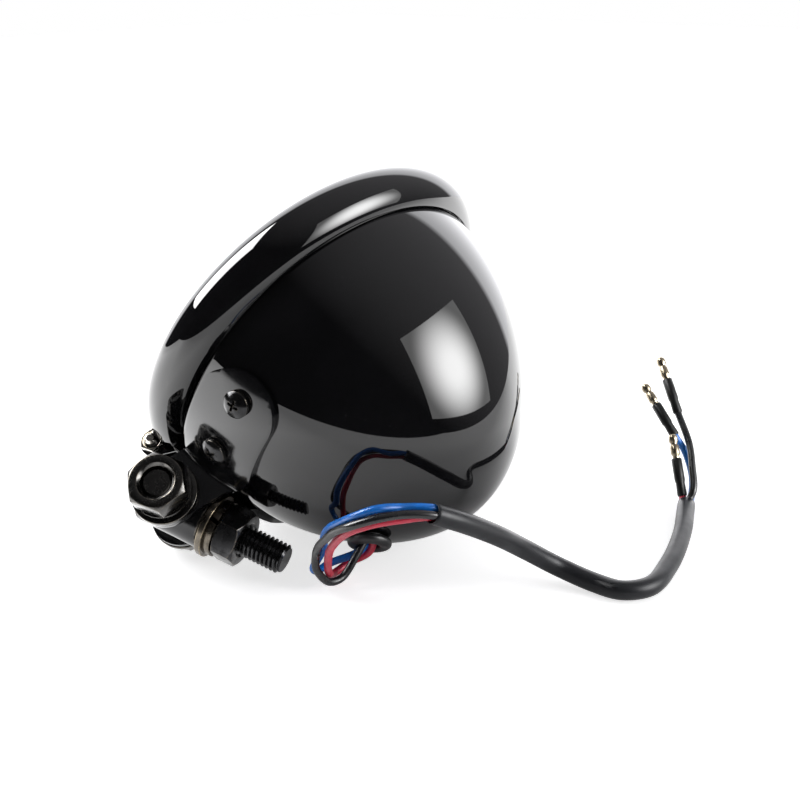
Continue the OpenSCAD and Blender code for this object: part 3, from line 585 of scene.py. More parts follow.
def make_groups():
    """Effects that several finishes share."""
    tree, ins, outs = node_group(
        "Mottle", [("Scale", "Float", 100.0), ("Low", "Float", 0.4), ("High", "Float", 0.6)],
        [("Mask", "Float")])
    spot = add(tree, "TexCoord").outputs["Object"]
    noise = noise_of(tree, spot, ins.outputs["Scale"], 5.0, 0.6)
    level = add(tree, "MapRange", {"Value": noise, "From Min": ins.outputs["Low"],
                                   "From Max": ins.outputs["High"]})
    tree.links.new(level.outputs["Result"], outs.inputs["Mask"])

    tree, ins, outs = node_group(
        "Skin", [("Scale", "Float", 600.0), ("Strength", "Float", 0.1), ("Depth", "Float", 0.00003)],
        [("Normal", "Vector")])
    spot = add(tree, "TexCoord").outputs["Object"]
    noise = noise_of(tree, spot, ins.outputs["Scale"], 3.0)
    bump = add(tree, "Bump", {"Height": noise, "Strength": ins.outputs["Strength"],
                              "Distance": ins.outputs["Depth"]})
    tree.links.new(bump.outputs["Normal"], outs.inputs["Normal"])

    tree, ins, outs = node_group(
        "Edge Wear", [("Scale", "Float", 900.0), ("Amount", "Float", 0.5)], [("Mask", "Float")])
    spot = add(tree, "TexCoord").outputs["Object"]
    edge = add(tree, "Attribute", attribute_name="worn_edge").outputs["Fac"]
    noise = noise_of(tree, spot, ins.outputs["Scale"], 4.0)
    level = add(tree, "MapRange", {"Value": noise, "From Min": 0.35, "From Max": 0.6})
    share = product(tree, level.outputs["Result"], ins.outputs["Amount"])
    tree.links.new(product(tree, share, edge), outs.inputs["Mask"])

    tree, ins, outs = node_group(
        "Dust", [("Scale", "Float", 700.0), ("Size", "Float", 0.12)], [("Mask", "Float")])
    spot = add(tree, "TexCoord").outputs["Object"]
    cells = add(tree, "TexVoronoi", {"Vector": spot, "Scale": ins.outputs["Scale"]})
    speck = add(tree, "Math", {0: cells.outputs["Distance"], 1: ins.outputs["Size"]},
                operation="LESS_THAN")
    patch = noise_of(tree, spot, 60.0, 2.0)
    few = add(tree, "Math", {0: patch, 1: 0.6}, operation="GREATER_THAN")
    tree.links.new(product(tree, speck.outputs[0], few.outputs[0]), outs.inputs["Mask"])


def group(tree, name, **values):
    node = tree.nodes.new("ShaderNodeGroup")
    node.node_tree = bpy.data.node_groups[name]
    for key, value in values.items():
        node.inputs[key].default_value = value
    return node.outputs[0]


def blended(tree, mask, low, high):
    """Colour between two, by a mask. Either may be a socket or a colour."""
    node = tree.nodes.new("ShaderNodeMix")
    node.data_type = "RGBA"
    tree.links.new(mask, node.inputs[0])
    for slot, source in ((6, low), (7, high)):
        if hasattr(source, "links"):
            tree.links.new(source, node.inputs[slot])
        else:
            node.inputs[slot].default_value = (*source, 1.0)
    return node.outputs[2]


def shade(rgb, factor):
    return tuple(min(1.0, c * factor) for c in rgb)


def finish(name, base, tone=0.8, mottle=120.0, rough=(0.3, 0.4), skin=(800.0, 0.1), wear=0.0,
           wear_rgb=(0.3, 0.26, 0.2), dust=0.0, **sockets):
    """A painted, plated or moulded surface: two tones, varied gloss, fine relief and edge wear.

    tone is the second colour's brightness as a share of the first's, mottle the scale of their
    patches, rough the roughness of either, skin the scale and strength of the relief, wear the
    amount of bare metal at the edges and dust the size of its specks.
    """
    mat = bpy.data.materials.new(name)
    mat.use_nodes = True
    mat.diffuse_color = (*base, 1.0)
    tree = mat.node_tree
    bsdf = tree.nodes["Principled BSDF"]
    for key, value in sockets.items():
        bsdf.inputs[key.replace("_", " ")].default_value = value
    patches = group(tree, "Mottle", Scale=mottle)
    rgb = blended(tree, patches, base, shade(base, tone))
    if wear:
        rgb = blended(tree, group(tree, "Edge Wear", Amount=wear), rgb, wear_rgb)
    if dust:
        rgb = blended(tree, group(tree, "Dust", Size=dust), rgb, (0.2, 0.2, 0.2))
    tree.links.new(rgb, bsdf.inputs["Base Color"])
    gloss = add(tree, "MapRange", {"Value": patches, "To Min": rough[0], "To Max": rough[1]})
    tree.links.new(gloss.outputs["Result"], bsdf.inputs["Roughness"])
    if skin[1]:
        tree.links.new(group(tree, "Skin", Scale=skin[0], Strength=skin[1]), bsdf.inputs["Normal"])
    return mat


def make_finishes():
    c = bpy.context.scene.headlight_colours
    paint, steel, worn = tuple(c.paint), tuple(c.hardware), tuple(c.worn_steel)
    finish("Gloss black paint", paint, 1.6, 30.0, (0.02, 0.035), (220.0, 0.02), dust=0.05)
    finish("Bracket paint", shade(paint, 1.5), 1.5, 60.0, (0.09, 0.15), (500.0, 0.06), dust=0.05)
    finish("Black screws", (0.02, 0.02, 0.021), 0.6, 400.0, (0.16, 0.3), (900.0, 0.1), 0.7, worn,
           Metallic=0.7)
    finish("Dark zinc plate", steel, 0.6, 420.0, (0.18, 0.28), (900.0, 0.08), 0.3, worn, Metallic=1.0)
    finish("Black steel", tuple(c.black_steel), 0.5, 300.0, (0.18, 0.3), (900.0, 0.12), 0.3, worn,
           Metallic=0.85)
    finish("Swivel block", (0.012, 0.012, 0.013), 0.6, 200.0, (0.14, 0.24), (700.0, 0.1), 0.35, worn,
           Metallic=0.4)
    finish("Tarnished washers", (0.12, 0.105, 0.085), 0.6, 260.0, (0.22, 0.36), (900.0, 0.12), 0.5,
           (0.38, 0.31, 0.2), Metallic=1.0)
    finish("Bright nickel", tuple(c.nickel), 0.88, 260.0, (0.13, 0.2), (1400.0, 0.03), 0.2,
           (0.6, 0.58, 0.54), Metallic=1.0)
    finish("Zinc plate", (0.45, 0.45, 0.44), 0.7, 500.0, (0.25, 0.4), (1200.0, 0.1), Metallic=1.0)
    finish("Reflector mirror", (0.86, 0.86, 0.85), 0.97, 30.0, (0.02, 0.05), (150.0, 0.01),
           Metallic=1.0)
    finish("Filament wire", (0.36, 0.34, 0.32), 0.7, 900.0, (0.3, 0.5), (2500.0, 0.1), Metallic=1.0)
    finish("Seal rubber", (0.035, 0.035, 0.035), 0.7, 200.0, (0.55, 0.7), (900.0, 0.25))
    finish("Grommet rubber", (0.016, 0.016, 0.017), 0.7, 250.0, (0.36, 0.5), (900.0, 0.18))
    finish("Moulded plastic", (0.02, 0.02, 0.021), 0.8, 200.0, (0.4, 0.5), (1200.0, 0.15))
    finish("Blue insulation", tuple(c.wire_blue), 0.8, 300.0, (0.28, 0.38), (1500.0, 0.06))
    finish("Black insulation", tuple(c.wire_black), 0.7, 300.0, (0.26, 0.36), (1500.0, 0.06))
    finish("Red insulation", tuple(c.wire_red), 0.85, 300.0, (0.28, 0.38), (1500.0, 0.06))
    finish("Sleeve plastic", tuple(c.sleeve), 0.75, 90.0, (0.34, 0.44), (500.0, 0.2),
           Specular_IOR_Level=0.22)
    finish("Terminal insulator", (0.012, 0.012, 0.012), 0.7, 300.0, (0.36, 0.46), (900.0, 0.2),
           Specular_IOR_Level=0.25)
    finish("Bullet metal", tuple(c.brass), 0.8, 300.0, (0.26, 0.36), (1600.0, 0.08), 0.3,
           (0.5, 0.45, 0.35), Metallic=1.0)
    for name, ior, rough in (("Lens glass", 1.52, 0.0), ("Bulb glass", 1.48, 0.0)):
        finish(name, (0.97, 0.985, 0.98), 0.99, 20.0, (rough, rough + 0.015), (90.0, 0.01),
               Transmission_Weight=1.0, IOR=ior)


# Operators


class HEADLIGHT_OT_bowl(bpy.types.Operator):
    """Build the pressed bowl with its rolled bead and holes, and the rubber grommet"""

    bl_idname = "headlight.bowl"
    bl_label = "Bowl and Grommet"

    def execute(self, context):
        s = millimetres()
        inner_r = s.bowl_r - s.bowl_wall
        enter = math.degrees(math.acos((s.bowl_r - s.bead_mid_r) / s.bead_r))
        inner = bowl_outline(inner_r, s.bowl_depth - s.bowl_wall)
        outline = [(0, s.bowl_depth), *bowl_outline(s.bowl_r, s.bowl_depth),
                   *arc(s.bead_mid_r, s.bead_mid_y, s.bead_r, enter, -180, 28),
                   *reversed(inner), (0, s.bowl_depth - s.bowl_wall)]
        shell = turned(outline, 192, closed=False)
        back = lathe_place(s).inverted()
        holes = [(0.0, s.hole_back, s.hole_d / 2)]
        holes += [(math.radians(side * a), s.screw_back, s.small_d / 2 + SCREW_PLAY)
                  for side in (-1, 1) for a in SCREW_ANGLES]
        drills = [moved(rod(r, -6, 6), back @ bowl_place(s, theta, y)) for theta, y, r in holes]
        piece(carved(shell, *drills), "bowl", LAMP, "Gloss black paint",
              lathe_place(s), ["shell"])

        bore, outer, lip = s.grommet_bore / 2, s.hole_d / 2 + s.lip_w, s.lip_h / 2
        neck, under, inner_t = s.hole_d / 2 - 0.1, -(s.bowl_wall + 1), 1.6
        outline = [(bore, under - inner_t), (outer - 0.4, under - inner_t), (outer - 0.4, under),
                   (neck, under), (neck, 0.1), *arc(outer - lip, 0.1 + lip, lip, -90, 90, 14),
                   *arc(bore + lip, 0.1 + lip, lip, 90, 180, 8)]
        piece(turned(outline, 72), "grommet_ring", LAMP, "Grommet rubber",
              bowl_place(s, 0, s.hole_back), ["grommet"], 50)
        return {"FINISHED"}


class HEADLIGHT_OT_trim_ring(bpy.types.Operator):
    """Build the rolled trim ring with its split and lugs, and the clamp screw and nut"""

    bl_idname = "headlight.trim_ring"
    bl_label = "Trim Ring"

    def execute(self, context):
        s = millimetres()
        rear, front = s.bowl_r + s.ring_gap - s.ring_mid_r, s.ring_mouth_r - s.ring_mid_r
        ends = [(math.degrees(math.acos(rear / r)), -math.degrees(math.acos(front / r)))
                for r in (s.ring_roll_r, s.ring_thin_r)]
        outline = [*arc(s.ring_mid_r, s.ring_mid_y, s.ring_roll_r, *ends[0], 56),
                   *arc(s.ring_mid_r, s.ring_mid_y, s.ring_thin_r, *reversed(ends[1]), 40)]
        ring = soften(turned(outline, 224), 0.35, 50, 3)
        notch = s.lug_out_x + s.small_nut_h + NOTCH_PLAY
        to_lamp = Matrix.Rotation(math.pi / 2, 4, "X")
        cuts = [moved(block((-s.split_w / 2, -40, -90), (s.split_w / 2, 40, -30)), to_lamp),
                moved(block((-notch, -40, -90), (notch, 40, -s.lug_root_r - 0.6)), to_lamp)]
        ring = moved(carved(ring, *cuts), Matrix.Rotation(-math.pi / 2, 4, "X"))
        half = math.sqrt((s.ring_roll_r - s.ring_wall / 2) ** 2 - (s.lug_root_r - s.ring_mid_r) ** 2)
        mid = s.ring_mid_y
        outline = [(mid + half, -s.lug_root_r), (mid - half, -s.lug_root_r),
                   *arc(mid, -s.lug_mid_z, s.lug_r, -180, 0, 28)]
        turn = Matrix.Rotation(math.pi / 2, 4, "Z") @ Matrix.Rotation(math.pi / 2, 4, "X")
        lugs = [(soften(sheet(outline, s.lug_t), 0.3, 60, 3), Matrix.Translation((x, 0, 0)) @ turn)
                for x in (s.split_w / 2, -s.lug_out_x)]
        piece(joined(ring, *lugs), "trim_ring_rolled", LAMP, "Gloss black paint",
              lamp_place(s), ["trim_ring"])

        screw_l = 2 * s.lug_out_x + s.small_nut_h + 1.8
        spot = Matrix.Translation((-s.lug_out_x - SEAM, s.ring_mid_y, -s.lug_mid_z))
        left, right = Matrix.Rotation(math.pi / 2, 4, "Y"), Matrix.Rotation(-math.pi / 2, 4, "Y")
        screw = joined((pan_head(1.8 * s.small_d, 0.65 * s.small_d), right),
                       (threaded(s.small_d, s.small_pitch, screw_l, 0.8), left))
        piece(screw, "clamp_screw_steel", LAMP, "Bright nickel",
              lamp_place(s) @ spot, ["clamp_screw"])
        spot = Matrix.Translation((s.lug_out_x + SEAM, s.ring_mid_y, -s.lug_mid_z))
        piece(nut(s.small_af, s.small_nut_h, s.small_d), "clamp_nut_steel", LAMP,
              "Bright nickel", lamp_place(s) @ spot @ left, ["clamp_nut"])
        return {"FINISHED"}


class HEADLIGHT_OT_optics(bpy.types.Operator):
    """Build the reflector and finish the lens and its seal"""

    bl_idname = "headlight.optics"
    bl_label = "Lens and Reflector"

    def execute(self, context):
        s = millimetres()
        steps, thin = 60, REFLECTOR_WALL
        radii = [s.reflector_rim_r + (s.bulb_hole_r - s.reflector_rim_r) * i / steps
                 for i in range(steps + 1)]
        front = [(r, s.reflector_apex_y - r * r / (4 * s.focal_l)) for r in radii]
        outline = [(s.lens_rim_r, s.reflector_y), *front, (s.bulb_hole_r, s.collar_y),
                   (s.bulb_hole_r + thin, s.collar_y),
                   *[(r + 0.8 * thin, y + 0.9 * thin) for r, y in reversed(front)],
                   (s.lens_rim_r, s.reflector_y + thin)]
        piece(turned(outline, 160), "reflector_dish", LAMP, "Reflector mirror",
              lathe_place(s), ["reflector"], 24)
        dress("lens", "Lens glass")
        dress("lens_seal", "Seal rubber")
        return {"FINISHED"}


class HEADLIGHT_OT_bulb(bpy.types.Operator):
    """Build the bulb's glass and filaments, and finish its base, contacts, clip and plug"""

    bl_idname = "headlight.bulb"
    bl_label = "Bulb"

    def execute(self, context):
        s = millimetres()
        r, tip, wall = s.glass_r, s.flange_y - s.glass_l, 0.9
        dome = r - 1.2
        outline = [(0, tip), *arc(r - dome, tip + dome, dome, -90, 0, 14), (r, s.flange_y - 1),
                   (r - wall, s.flange_y - 1),
                   *arc(r - dome, tip + dome, dome - wall, 0, -90, 14), (0, tip + wall)]
        piece(turned(outline, 72, closed=False), "bulb_glass_tube", LAMP, "Bulb glass",
              lathe_place(s), ["bulb_glass"])

        post, low_z = 0.35 * r, -0.35 * r
        coil_r, coil_wire_r, coil_l, coil_turns, stem_x = 0.4, 0.13, 4.2, 9, 2.0
        parts = []
        for back in (0.48 * s.glass_l, 0.69 * s.glass_l):
            middle = Matrix.Translation((0, s.flange_y - back, 0))
            coil = turned(arc(coil_r, 0, coil_wire_r, 0, 324, 9), 16 * coil_turns,
                          turn=FULL_TURN * coil_turns, rise=coil_l)
            parts.append((coil, middle @ Matrix.Translation((-coil_l / 2, 0, 0))
                          @ Matrix.Rotation(math.pi / 2, 4, "Y")))
            for side in (-1, 1):
                turn = Matrix.Rotation(side * math.pi / 2, 4, "Y")
                parts.append((rod(0.2, 0, post - stem_x, 12),
                              middle @ Matrix.Translation((side * stem_x, 0, 0)) @ turn))
        near, far = s.flange_y - 0.64 * s.glass_l, s.flange_y - 0.78 * s.glass_l
        for side in (-1, 1):
            x = side * post
            spot = Matrix.Translation((x, s.flange_y - 0.8, 0)) @ Matrix.Rotation(math.pi / 2, 4, "X")
            parts.append((soften(rod(0.5, 0, 0.72 * s.glass_l, 20), 0.1, 60), spot))
            foot = block((x - 0.3, near, low_z + 0.4), (x + 0.3, near + 3, 0))
            parts.append(soften(foot, 0.08, 60))
        shield = block((-post - 0.5, far, low_z), (post + 0.5, far + 0.21 * s.glass_l, low_z + 0.7))
        parts.append(soften(shield, 0.25, 60, 3))
        piece(joined(*parts), "bulb_filament_wires", LAMP, "Filament wire",
              lamp_place(s), ["bulb_filaments"])
        dress("bulb_base", "Zinc plate")
        dress("bulb_contacts", "Bright nickel")
        dress("bulb_clip", "Zinc plate")
        dress("bulb_boot", "Seal rubber")
        dress("bulb_plug", "Moulded plastic")
        return {"FINISHED"}


def bent_plate(s):
    """Bracket plate: a flat pattern cut to its outline, bent at the fold and wrapped on the bowl."""
    lift = PLATE_GAP + s.plate_t / 2
    x_mid = s.ear_x - s.plate_t / 2

    def section(y):
        """Radius, angle of the fold's end and height of its start, at a distance back."""
        r = radius_at(y, s.bowl_r + lift, s.bowl_depth + lift)
        start = -math.sqrt((r + s.fold_r) ** 2 - (x_mid + s.fold_r) ** 2)
        return r, math.atan2(x_mid + s.fold_r, -start), start

    def bend(w, y):
        r, fold, start = section(y)
        run = r * math.sin(fold - s.flange_mid) - w
        if run <= 0:
            a = s.flange_mid + math.asin(w / r)
            return r * math.sin(a), y, -r * math.cos(a)
        sweep = math.pi / 2 - fold
        a = sweep - min(run / s.fold_r, sweep)
        drop_l = max(0.0, run - s.fold_r * sweep)
        return x_mid + s.fold_r * (1 - math.cos(a)), y, start + s.fold_r * math.sin(a) - drop_l

    def flat(z, y):
        """Place in the flat pattern of a point on the ear."""
        r, fold, start = section(y)
        return r * math.sin(fold - s.flange_mid) - s.fold_r * (math.pi / 2 - fold) - (start - z), y

    half, mid = s.flange_w / 2, FLANGE_BACK
    reach = (s.bowl_r + s.plate_t) * math.sin(s.flange_end - s.flange_mid) - half
    neck = [(-14.4, mid + half), (-21, mid + half - 2.2), (-25, mid + half - 4.2)]
    ear = arc(s.bolt_back, -s.bolt_drop, s.ear_r, 0, -180, 40)
    ear_top_z = -60
    outline = [*arc(reach, mid, half, -90, 90, 48), *neck,
               flat(ear_top_z, s.bolt_back + s.ear_r + 1.2), *[flat(z, y) for y, z in ear],
               flat(ear_top_z, s.bolt_back - s.ear_r + 1.6), (-25, mid - half + 1.2),
               (-14.4, mid - half)]
    bm = bmesh.new()
    bm.faces.new([bm.verts.new((w, y, 0)) for w, y in outline])
    # Cut across the flat pattern: closely at the fold, wider on the ear and on the flange
    low, wide, close, fold_w = min(w for w, y in outline), 1.4, 0.35, -30
    stops = [low + wide * i for i in range(1, int((fold_w + 1 - low) / wide))]
    stops += [fold_w + close * i for i in range(28)] + [fold_w + 10 + wide * i for i in range(28)]
    cuts = [((w, 0, 0), (1, 0, 0)) for w in stops]
    cuts += [((0, 0.5 + wide * i, 0), (0, 1, 0)) for i in range(21)]
    for spot, way in cuts:
        bmesh.ops.bisect_plane(bm, geom=bm.verts[:] + bm.edges[:] + bm.faces[:], dist=0.02,
                               plane_co=spot, plane_no=way)
    for v in bm.verts:
        v.co = bend(v.co.x, v.co.y)
    bmesh.ops.recalc_face_normals(bm, faces=bm.faces)
    return bm


class HEADLIGHT_OT_bracket(bpy.types.Operator):
    """Build the two bent bracket plates and their screws"""

    bl_idname = "headlight.bracket"
    bl_label = "Bracket"

    def execute(self, context):
        s = millimetres()
        mirror = Matrix.Diagonal((-1, 1, 1, 1))
        for name, side in (("left", Matrix.Identity(4)), ("right", mirror)):
            plate = piece(bent_plate(s), "bracket_plate_" + name, LAMP, "Bracket paint",
                          lamp_place(s) @ side, ["bracket_" + name], 60)
            wall = plate.modifiers.new("thickness", "SOLIDIFY")
            wall.thickness, wall.offset, wall.use_even_offset = s.plate_t / 1000, 0, True
            edge = plate.modifiers.new("rounded edges", "BEVEL")
            edge.width, edge.segments, edge.limit_method = 0.00045, 3, "ANGLE"
            edge.angle_limit = math.radians(50)
        heads = []
        seat = s.plate_t + PLATE_GAP + SCREW_SEAT
        for theta in (side * a for side in (-1, 1) for a in SCREW_ANGLES):
            place = bowl_place(s, math.radians(theta), s.screw_back, seat)
            turn = Matrix.Rotation(math.radians(7 * theta), 4, "Z")
            heads.append((pan_head(s.head_d, s.head_h), place @ turn))
            heads.append((rod(s.small_d / 2, -seat - 7, 0, 32), place))
        piece(joined(*heads), "bracket_pan_screws", LAMP, "Black screws",
              Matrix.Identity(4), ["bracket_screws"])
        dress("bracket_nuts", "Zinc plate")
        return {"FINISHED"}


class HEADLIGHT_OT_cross_bolt(bpy.types.Operator):
    """Build the cross bolt through the bracket with its washers and nut"""

    bl_idname = "headlight.cross_bolt"
    bl_label = "Cross Bolt"

    def execute(self, context):
        s = millimetres()
        grip = s.near_spring_x
        thread_d = s.thread_d - THREAD_PLAY
        bolt = joined((soften(hexagon(s.nut_af, HEAD_T, HEAD_CONE), 0.25),
                       Matrix.Translation((0, 0, -grip - HEAD_T))),
                      rod(thread_d / 2, -grip - 0.5, grip),
                      (threaded(thread_d, s.thread_pitch, s.bolt_end_x - grip),
                       Matrix.Translation((0, 0, grip))))
        piece(bolt, "cross_bolt_steel", LAMP, "Dark zinc plate", bolt_place(s, 0),
              ["cross_bolt"])
        washers = joined(*[
            (flat_washer(s.washer_d, s.thread_bore, s.washer_t), Matrix.Translation((0, 0, x)))
            for x in (s.near_washer_x, -s.near_washer_x - s.washer_t)])
        piece(washers, "cross_flat_washers", LAMP, "Dark zinc plate", bolt_place(s, 0),
              ["cross_washers"])
        piece(spring_washer(s.spring_d, s.thread_bore, s.spring_t), "cross_lock_washer", LAMP,
              "Dark zinc plate", bolt_place(s, s.near_spring_x), ["cross_spring_washer"])
        piece(nut(s.nut_af, s.nut_h, s.thread_d), "cross_hex_nut", LAMP,
              "Dark zinc plate", bolt_place(s, s.near_nut_x), ["cross_nut"])
        return {"FINISHED"}


class HEADLIGHT_OT_swivel(bpy.types.Operator):
    """Build the swivel block and the threaded stud with its washers and nut"""

    bl_idname = "headlight.swivel"
    bl_label = "Swivel and Stud"

    def execute(self, context):
        s = millimetres()
        r = s.block_d / 2
        low, high = -BLOCK_END, s.block_l
        body = soften(turned([(0, low), (r, low), (r, high), (0, high)], closed=False), 0.8, 60, 4)
        to_stud = stud_place(s, 0).inverted()
        drills = [moved(rod(s.thread_d / 2 + SEAM, -30, 30), to_stud @ bolt_place(s, 0)),
                  rod(s.thread_d / 2, s.stud_in_s - FIT, 30)]
        piece(carved(body, *drills), "swivel_knuckle", STUD, "Swivel block",
              stud_place(s, 0), ["swivel_block"])
        thread = threaded(s.thread_d - THREAD_PLAY, s.thread_pitch, s.stud_l - s.stud_in_s)
        piece(thread, "stud_thread", STUD, "Black steel",
              stud_place(s, s.stud_in_s), ["stud"])
        piece(flat_washer(s.washer_d, s.thread_bore, s.washer_t), "stud_flat_washer", STUD,
              "Tarnished washers", stud_place(s, s.stud_washer_s), ["stud_washer"])
        piece(spring_washer(s.spring_d, s.thread_bore, s.spring_t), "stud_lock_washer", STUD,
              "Tarnished washers", stud_place(s, s.stud_spring_s),
              ["stud_spring_washer"])
        piece(nut(s.nut_af, s.nut_h, s.thread_d), "stud_hex_nut", STUD,
              "Black steel", stud_place(s, s.stud_nut_s), ["stud_nut"])
        return {"FINISHED"}


# Routes in millimetres, in the frame of the lamp at rest. The sleeve's is the CAD source's. Each wire
# has its loop from the sleeve to the grommet, its tail and the way that it points, its place in the
# grommet, and the angles at which it lies in the sleeve's two ends.
SLEEVE_ROUTE = [(30, 66, 38), (21, 69, 33), (7, 71, 24), (-6, 72, 14.5), (-16, 77, 6.5), (-20, 88, 3.2),
                (-21.5, 97, 3.2), (-29, 102, 3.2), (-44, 99.5, 3.2), (-66, 91.5, 3.2), (-87, 81, 3.2)]
WIRES = {
    "blue": SimpleNamespace(
        loop=[(35.3, 59.7, 39.8), (42.6, 56.3, 40.8), (45.8, 50.8, 38), (45.1, 44.4, 33.8),
              (43.2, 38, 29.4), (40.7, 32.7, 24), (38.5, 29.4, 17.5), (38.3, 24.6, 9.3),
              (34.8, 22.8, 6.4), (29.7, 22.5, 6.7), (21.8, 28.6, 10.3)],
        tail=[(-92, 80, 4.5), (-97, 77, 9.5), (-100.5, 71.5, 16.5), (-99, 68, 22)],
        way=(-0.19, -0.74, 0.65), place=(0.866, -0.5), turns=(120, 300)),
    "black": SimpleNamespace(
        loop=[(37.8, 62.1, 39.3), (43.9, 57.5, 38.7), (48.2, 51.3, 36), (47.9, 44.7, 32),
              (46.1, 39.1, 27.2), (43.9, 33.6, 22.2), (41.3, 29.3, 16.7), (40.3, 28.1, 11.1),
              (35.7, 28.5, 4.9), (30.7, 29.1, 4.5), (24.7, 29.8, 10.2)],
        tail=[(-90.5, 81.5, 8), (-95, 78, 13.5), (-100.5, 73, 20), (-105.5, 65, 28)],
        way=(-0.34, -0.6, 0.73), place=(-0.866, -0.5), turns=(0, 60)),
    "red": SimpleNamespace(
        loop=[(36.5, 60.9, 37), (42.8, 56.4, 36.6), (45.9, 50.8, 34), (45.3, 44.9, 29.6),
              (43.3, 39.7, 24.9), (41.1, 35, 19.6), (38.6, 31.5, 13.4), (35.2, 28.1, 7.7),
              (30.2, 24.8, 4.2), (23.4, 25.1, 5.4), (19.3, 30.1, 9.4)],
        tail=[(-88.8, 78.3, 5)],
        way=(-0.35, -0.45, 0.82), place=(0, 1), turns=(240, 180)),
}


def smooth_route(points, per_span=8):
    """Points on a smooth curve through the given ones."""
    p = [Vector(q) for q in points]
    p = [2 * p[0] - p[1], *p, 2 * p[-1] - p[-2]]
    route = []
    for a, b, c, d in zip(p, p[1:], p[2:], p[3:]):
        t1 = math.sqrt((b - a).length)
        t2 = t1 + math.sqrt((c - b).length)
        t3 = t2 + math.sqrt((d - c).length)
        for i in range(per_span):
            t = t1 + (t2 - t1) * i / per_span
            ab = a.lerp(b, t / t1)
            bc = b.lerp(c, (t - t1) / (t2 - t1))
            cd = c.lerp(d, (t - t2) / (t3 - t2))
            before, after = ab.lerp(bc, t / t2), bc.lerp(cd, (t - t1) / (t3 - t1))
            route.append(before.lerp(after, (t - t1) / (t2 - t1)))
    return [*route, p[-2]]


def tube(name, points, radius, caps=True):
    """Round curve through points in millimetres."""
    data = bpy.data.curves.new(name, "CURVE")
    data.dimensions, data.bevel_depth, data.bevel_resolution = "3D", radius / 1000, 5
    data.use_fill_caps = caps
    spline = data.splines.new("POLY")
    spline.points.add(len(points) - 1)
    for point, co in zip(spline.points, points):
        point.co = (*(Vector(co) / 1000), 1)
    spline.use_smooth = True
    obj = bpy.data.objects.new(name, data)
    bpy.context.scene.collection.objects.link(obj)
    return obj


def wire_route(s, wire):
    """The whole way of one wire: out of the grommet, round its loop, through the sleeve, to its end."""
    to_mm = Matrix.Scale(1000, 4)
    hole = to_mm @ bowl_place(s, 0, s.hole_back)
    start = hole @ Vector((*(s.bundle_r * c for c in wire.place), 0))
    loop = [Vector(p) for p in reversed(wire.loop)]
    path = [Vector(p) for p in SLEEVE_ROUTE]
    last = len(path) - 1
    bundle = []
    for i, p in enumerate(path):
        way = (path[min(i + 1, last)] - path[max(i - 1, 0)]).normalized()
        level = way.cross(Vector((0, 0, 1))).normalized()
        rise = level.cross(way)
        turn = math.radians(wire.turns[0] + (wire.turns[1] - wire.turns[0]) * i / last)
        bundle.append(p + s.bundle_r * (math.cos(turn) * level + math.sin(turn) * rise))
    tail = [Vector(p) for p in wire.tail]
    tail.append(tail[-1] + 4 * Vector(wire.way).normalized())
    return smooth_route([start, *loop, *bundle, *tail])


class HEADLIGHT_OT_lead(bpy.types.Operator):
    """Build the three wires, their sleeve, and the insulated bullet terminals"""

    bl_idname = "headlight.lead"
    bl_label = "Lead"

    def execute(self, context):
        s = millimetres()
        cover = tube("cover", smooth_route(SLEEVE_ROUTE), s.sleeve_d / 2, caps=False)
        mesh = bpy.data.meshes.new_from_object(
            cover.evaluated_get(context.evaluated_depsgraph_get()))
        bm = bmesh.new()
        bm.from_mesh(mesh)
        bpy.data.meshes.remove(mesh)
        drop(cover)
        bmesh.ops.remove_doubles(bm, verts=bm.verts, dist=1e-6)
        bmesh.ops.recalc_face_normals(bm, faces=bm.faces)
        sleeve = piece(bm, "sleeve_tube", LAMP, "Sleeve plastic", Matrix.Identity(4),
                       ["sleeve"], 60)
        wall = sleeve.modifiers.new("thickness", "SOLIDIFY")
        wall.thickness, wall.offset = s.sleeve_wall / 1000, -1

        r, cut = s.insulator_d / 2, s.insulator_l
        cover_outline = [(0, 0.3), (1.3, 0), (r - 0.35, 0), (r - 0.1, 0.5), (r - 0.25, 0.35 * cut),
                         (r, 0.42 * cut), (r, cut - 0.3), (r - 0.25, cut), (1.25, cut), (0, cut - 0.6)]
        b, l = s.bullet_d / 2, s.bullet_l
        bullet_outline = [(0, -0.6), (1.15, -0.6), (1.15, 1.0), (b - 0.05, 1.5), (b, 2.0),
                          (b, 0.5 * l), (b - 0.4, 0.55 * l), (b - 0.4, 0.62 * l), (b, 0.68 * l),
                          *arc(0, l - b, b, 0, 90, 10)]
        for name, wire in WIRES.items():
            route = wire_route(s, wire)
            line = tube("wire_" + name, route, s.wire_r)
            line.data.materials.append(bpy.data.materials[name.capitalize() + " insulation"])
            settle(line, LAMP, ["lead_" + name, "tail_" + name])
            place = aimed_place(wire.tail[-1], wire.way)
            onward = place @ Matrix.Translation((0, 0, s.insulator_l))
            ends = [piece(turned(cover_outline, 40, closed=False), "insulator_" + name, LAMP,
                          "Terminal insulator", place, ["insulators"], 50),
                    piece(turned(bullet_outline, 40, closed=False), "bullet_" + name, LAMP,
                          "Bullet metal", onward, ["bullets"], 50)]
            if name == "black":
                ends.append(sleeve)
            dress("inner_" + name, name.capitalize() + " insulation")
        return {"FINISHED"}


def direction(azimuth, elevation):
    """Unit vector at an azimuth and an elevation in degrees."""
    a, e = math.radians(azimuth), math.radians(elevation)
    return Vector((math.cos(a) * math.cos(e), math.sin(a) * math.cos(e), math.sin(e)))


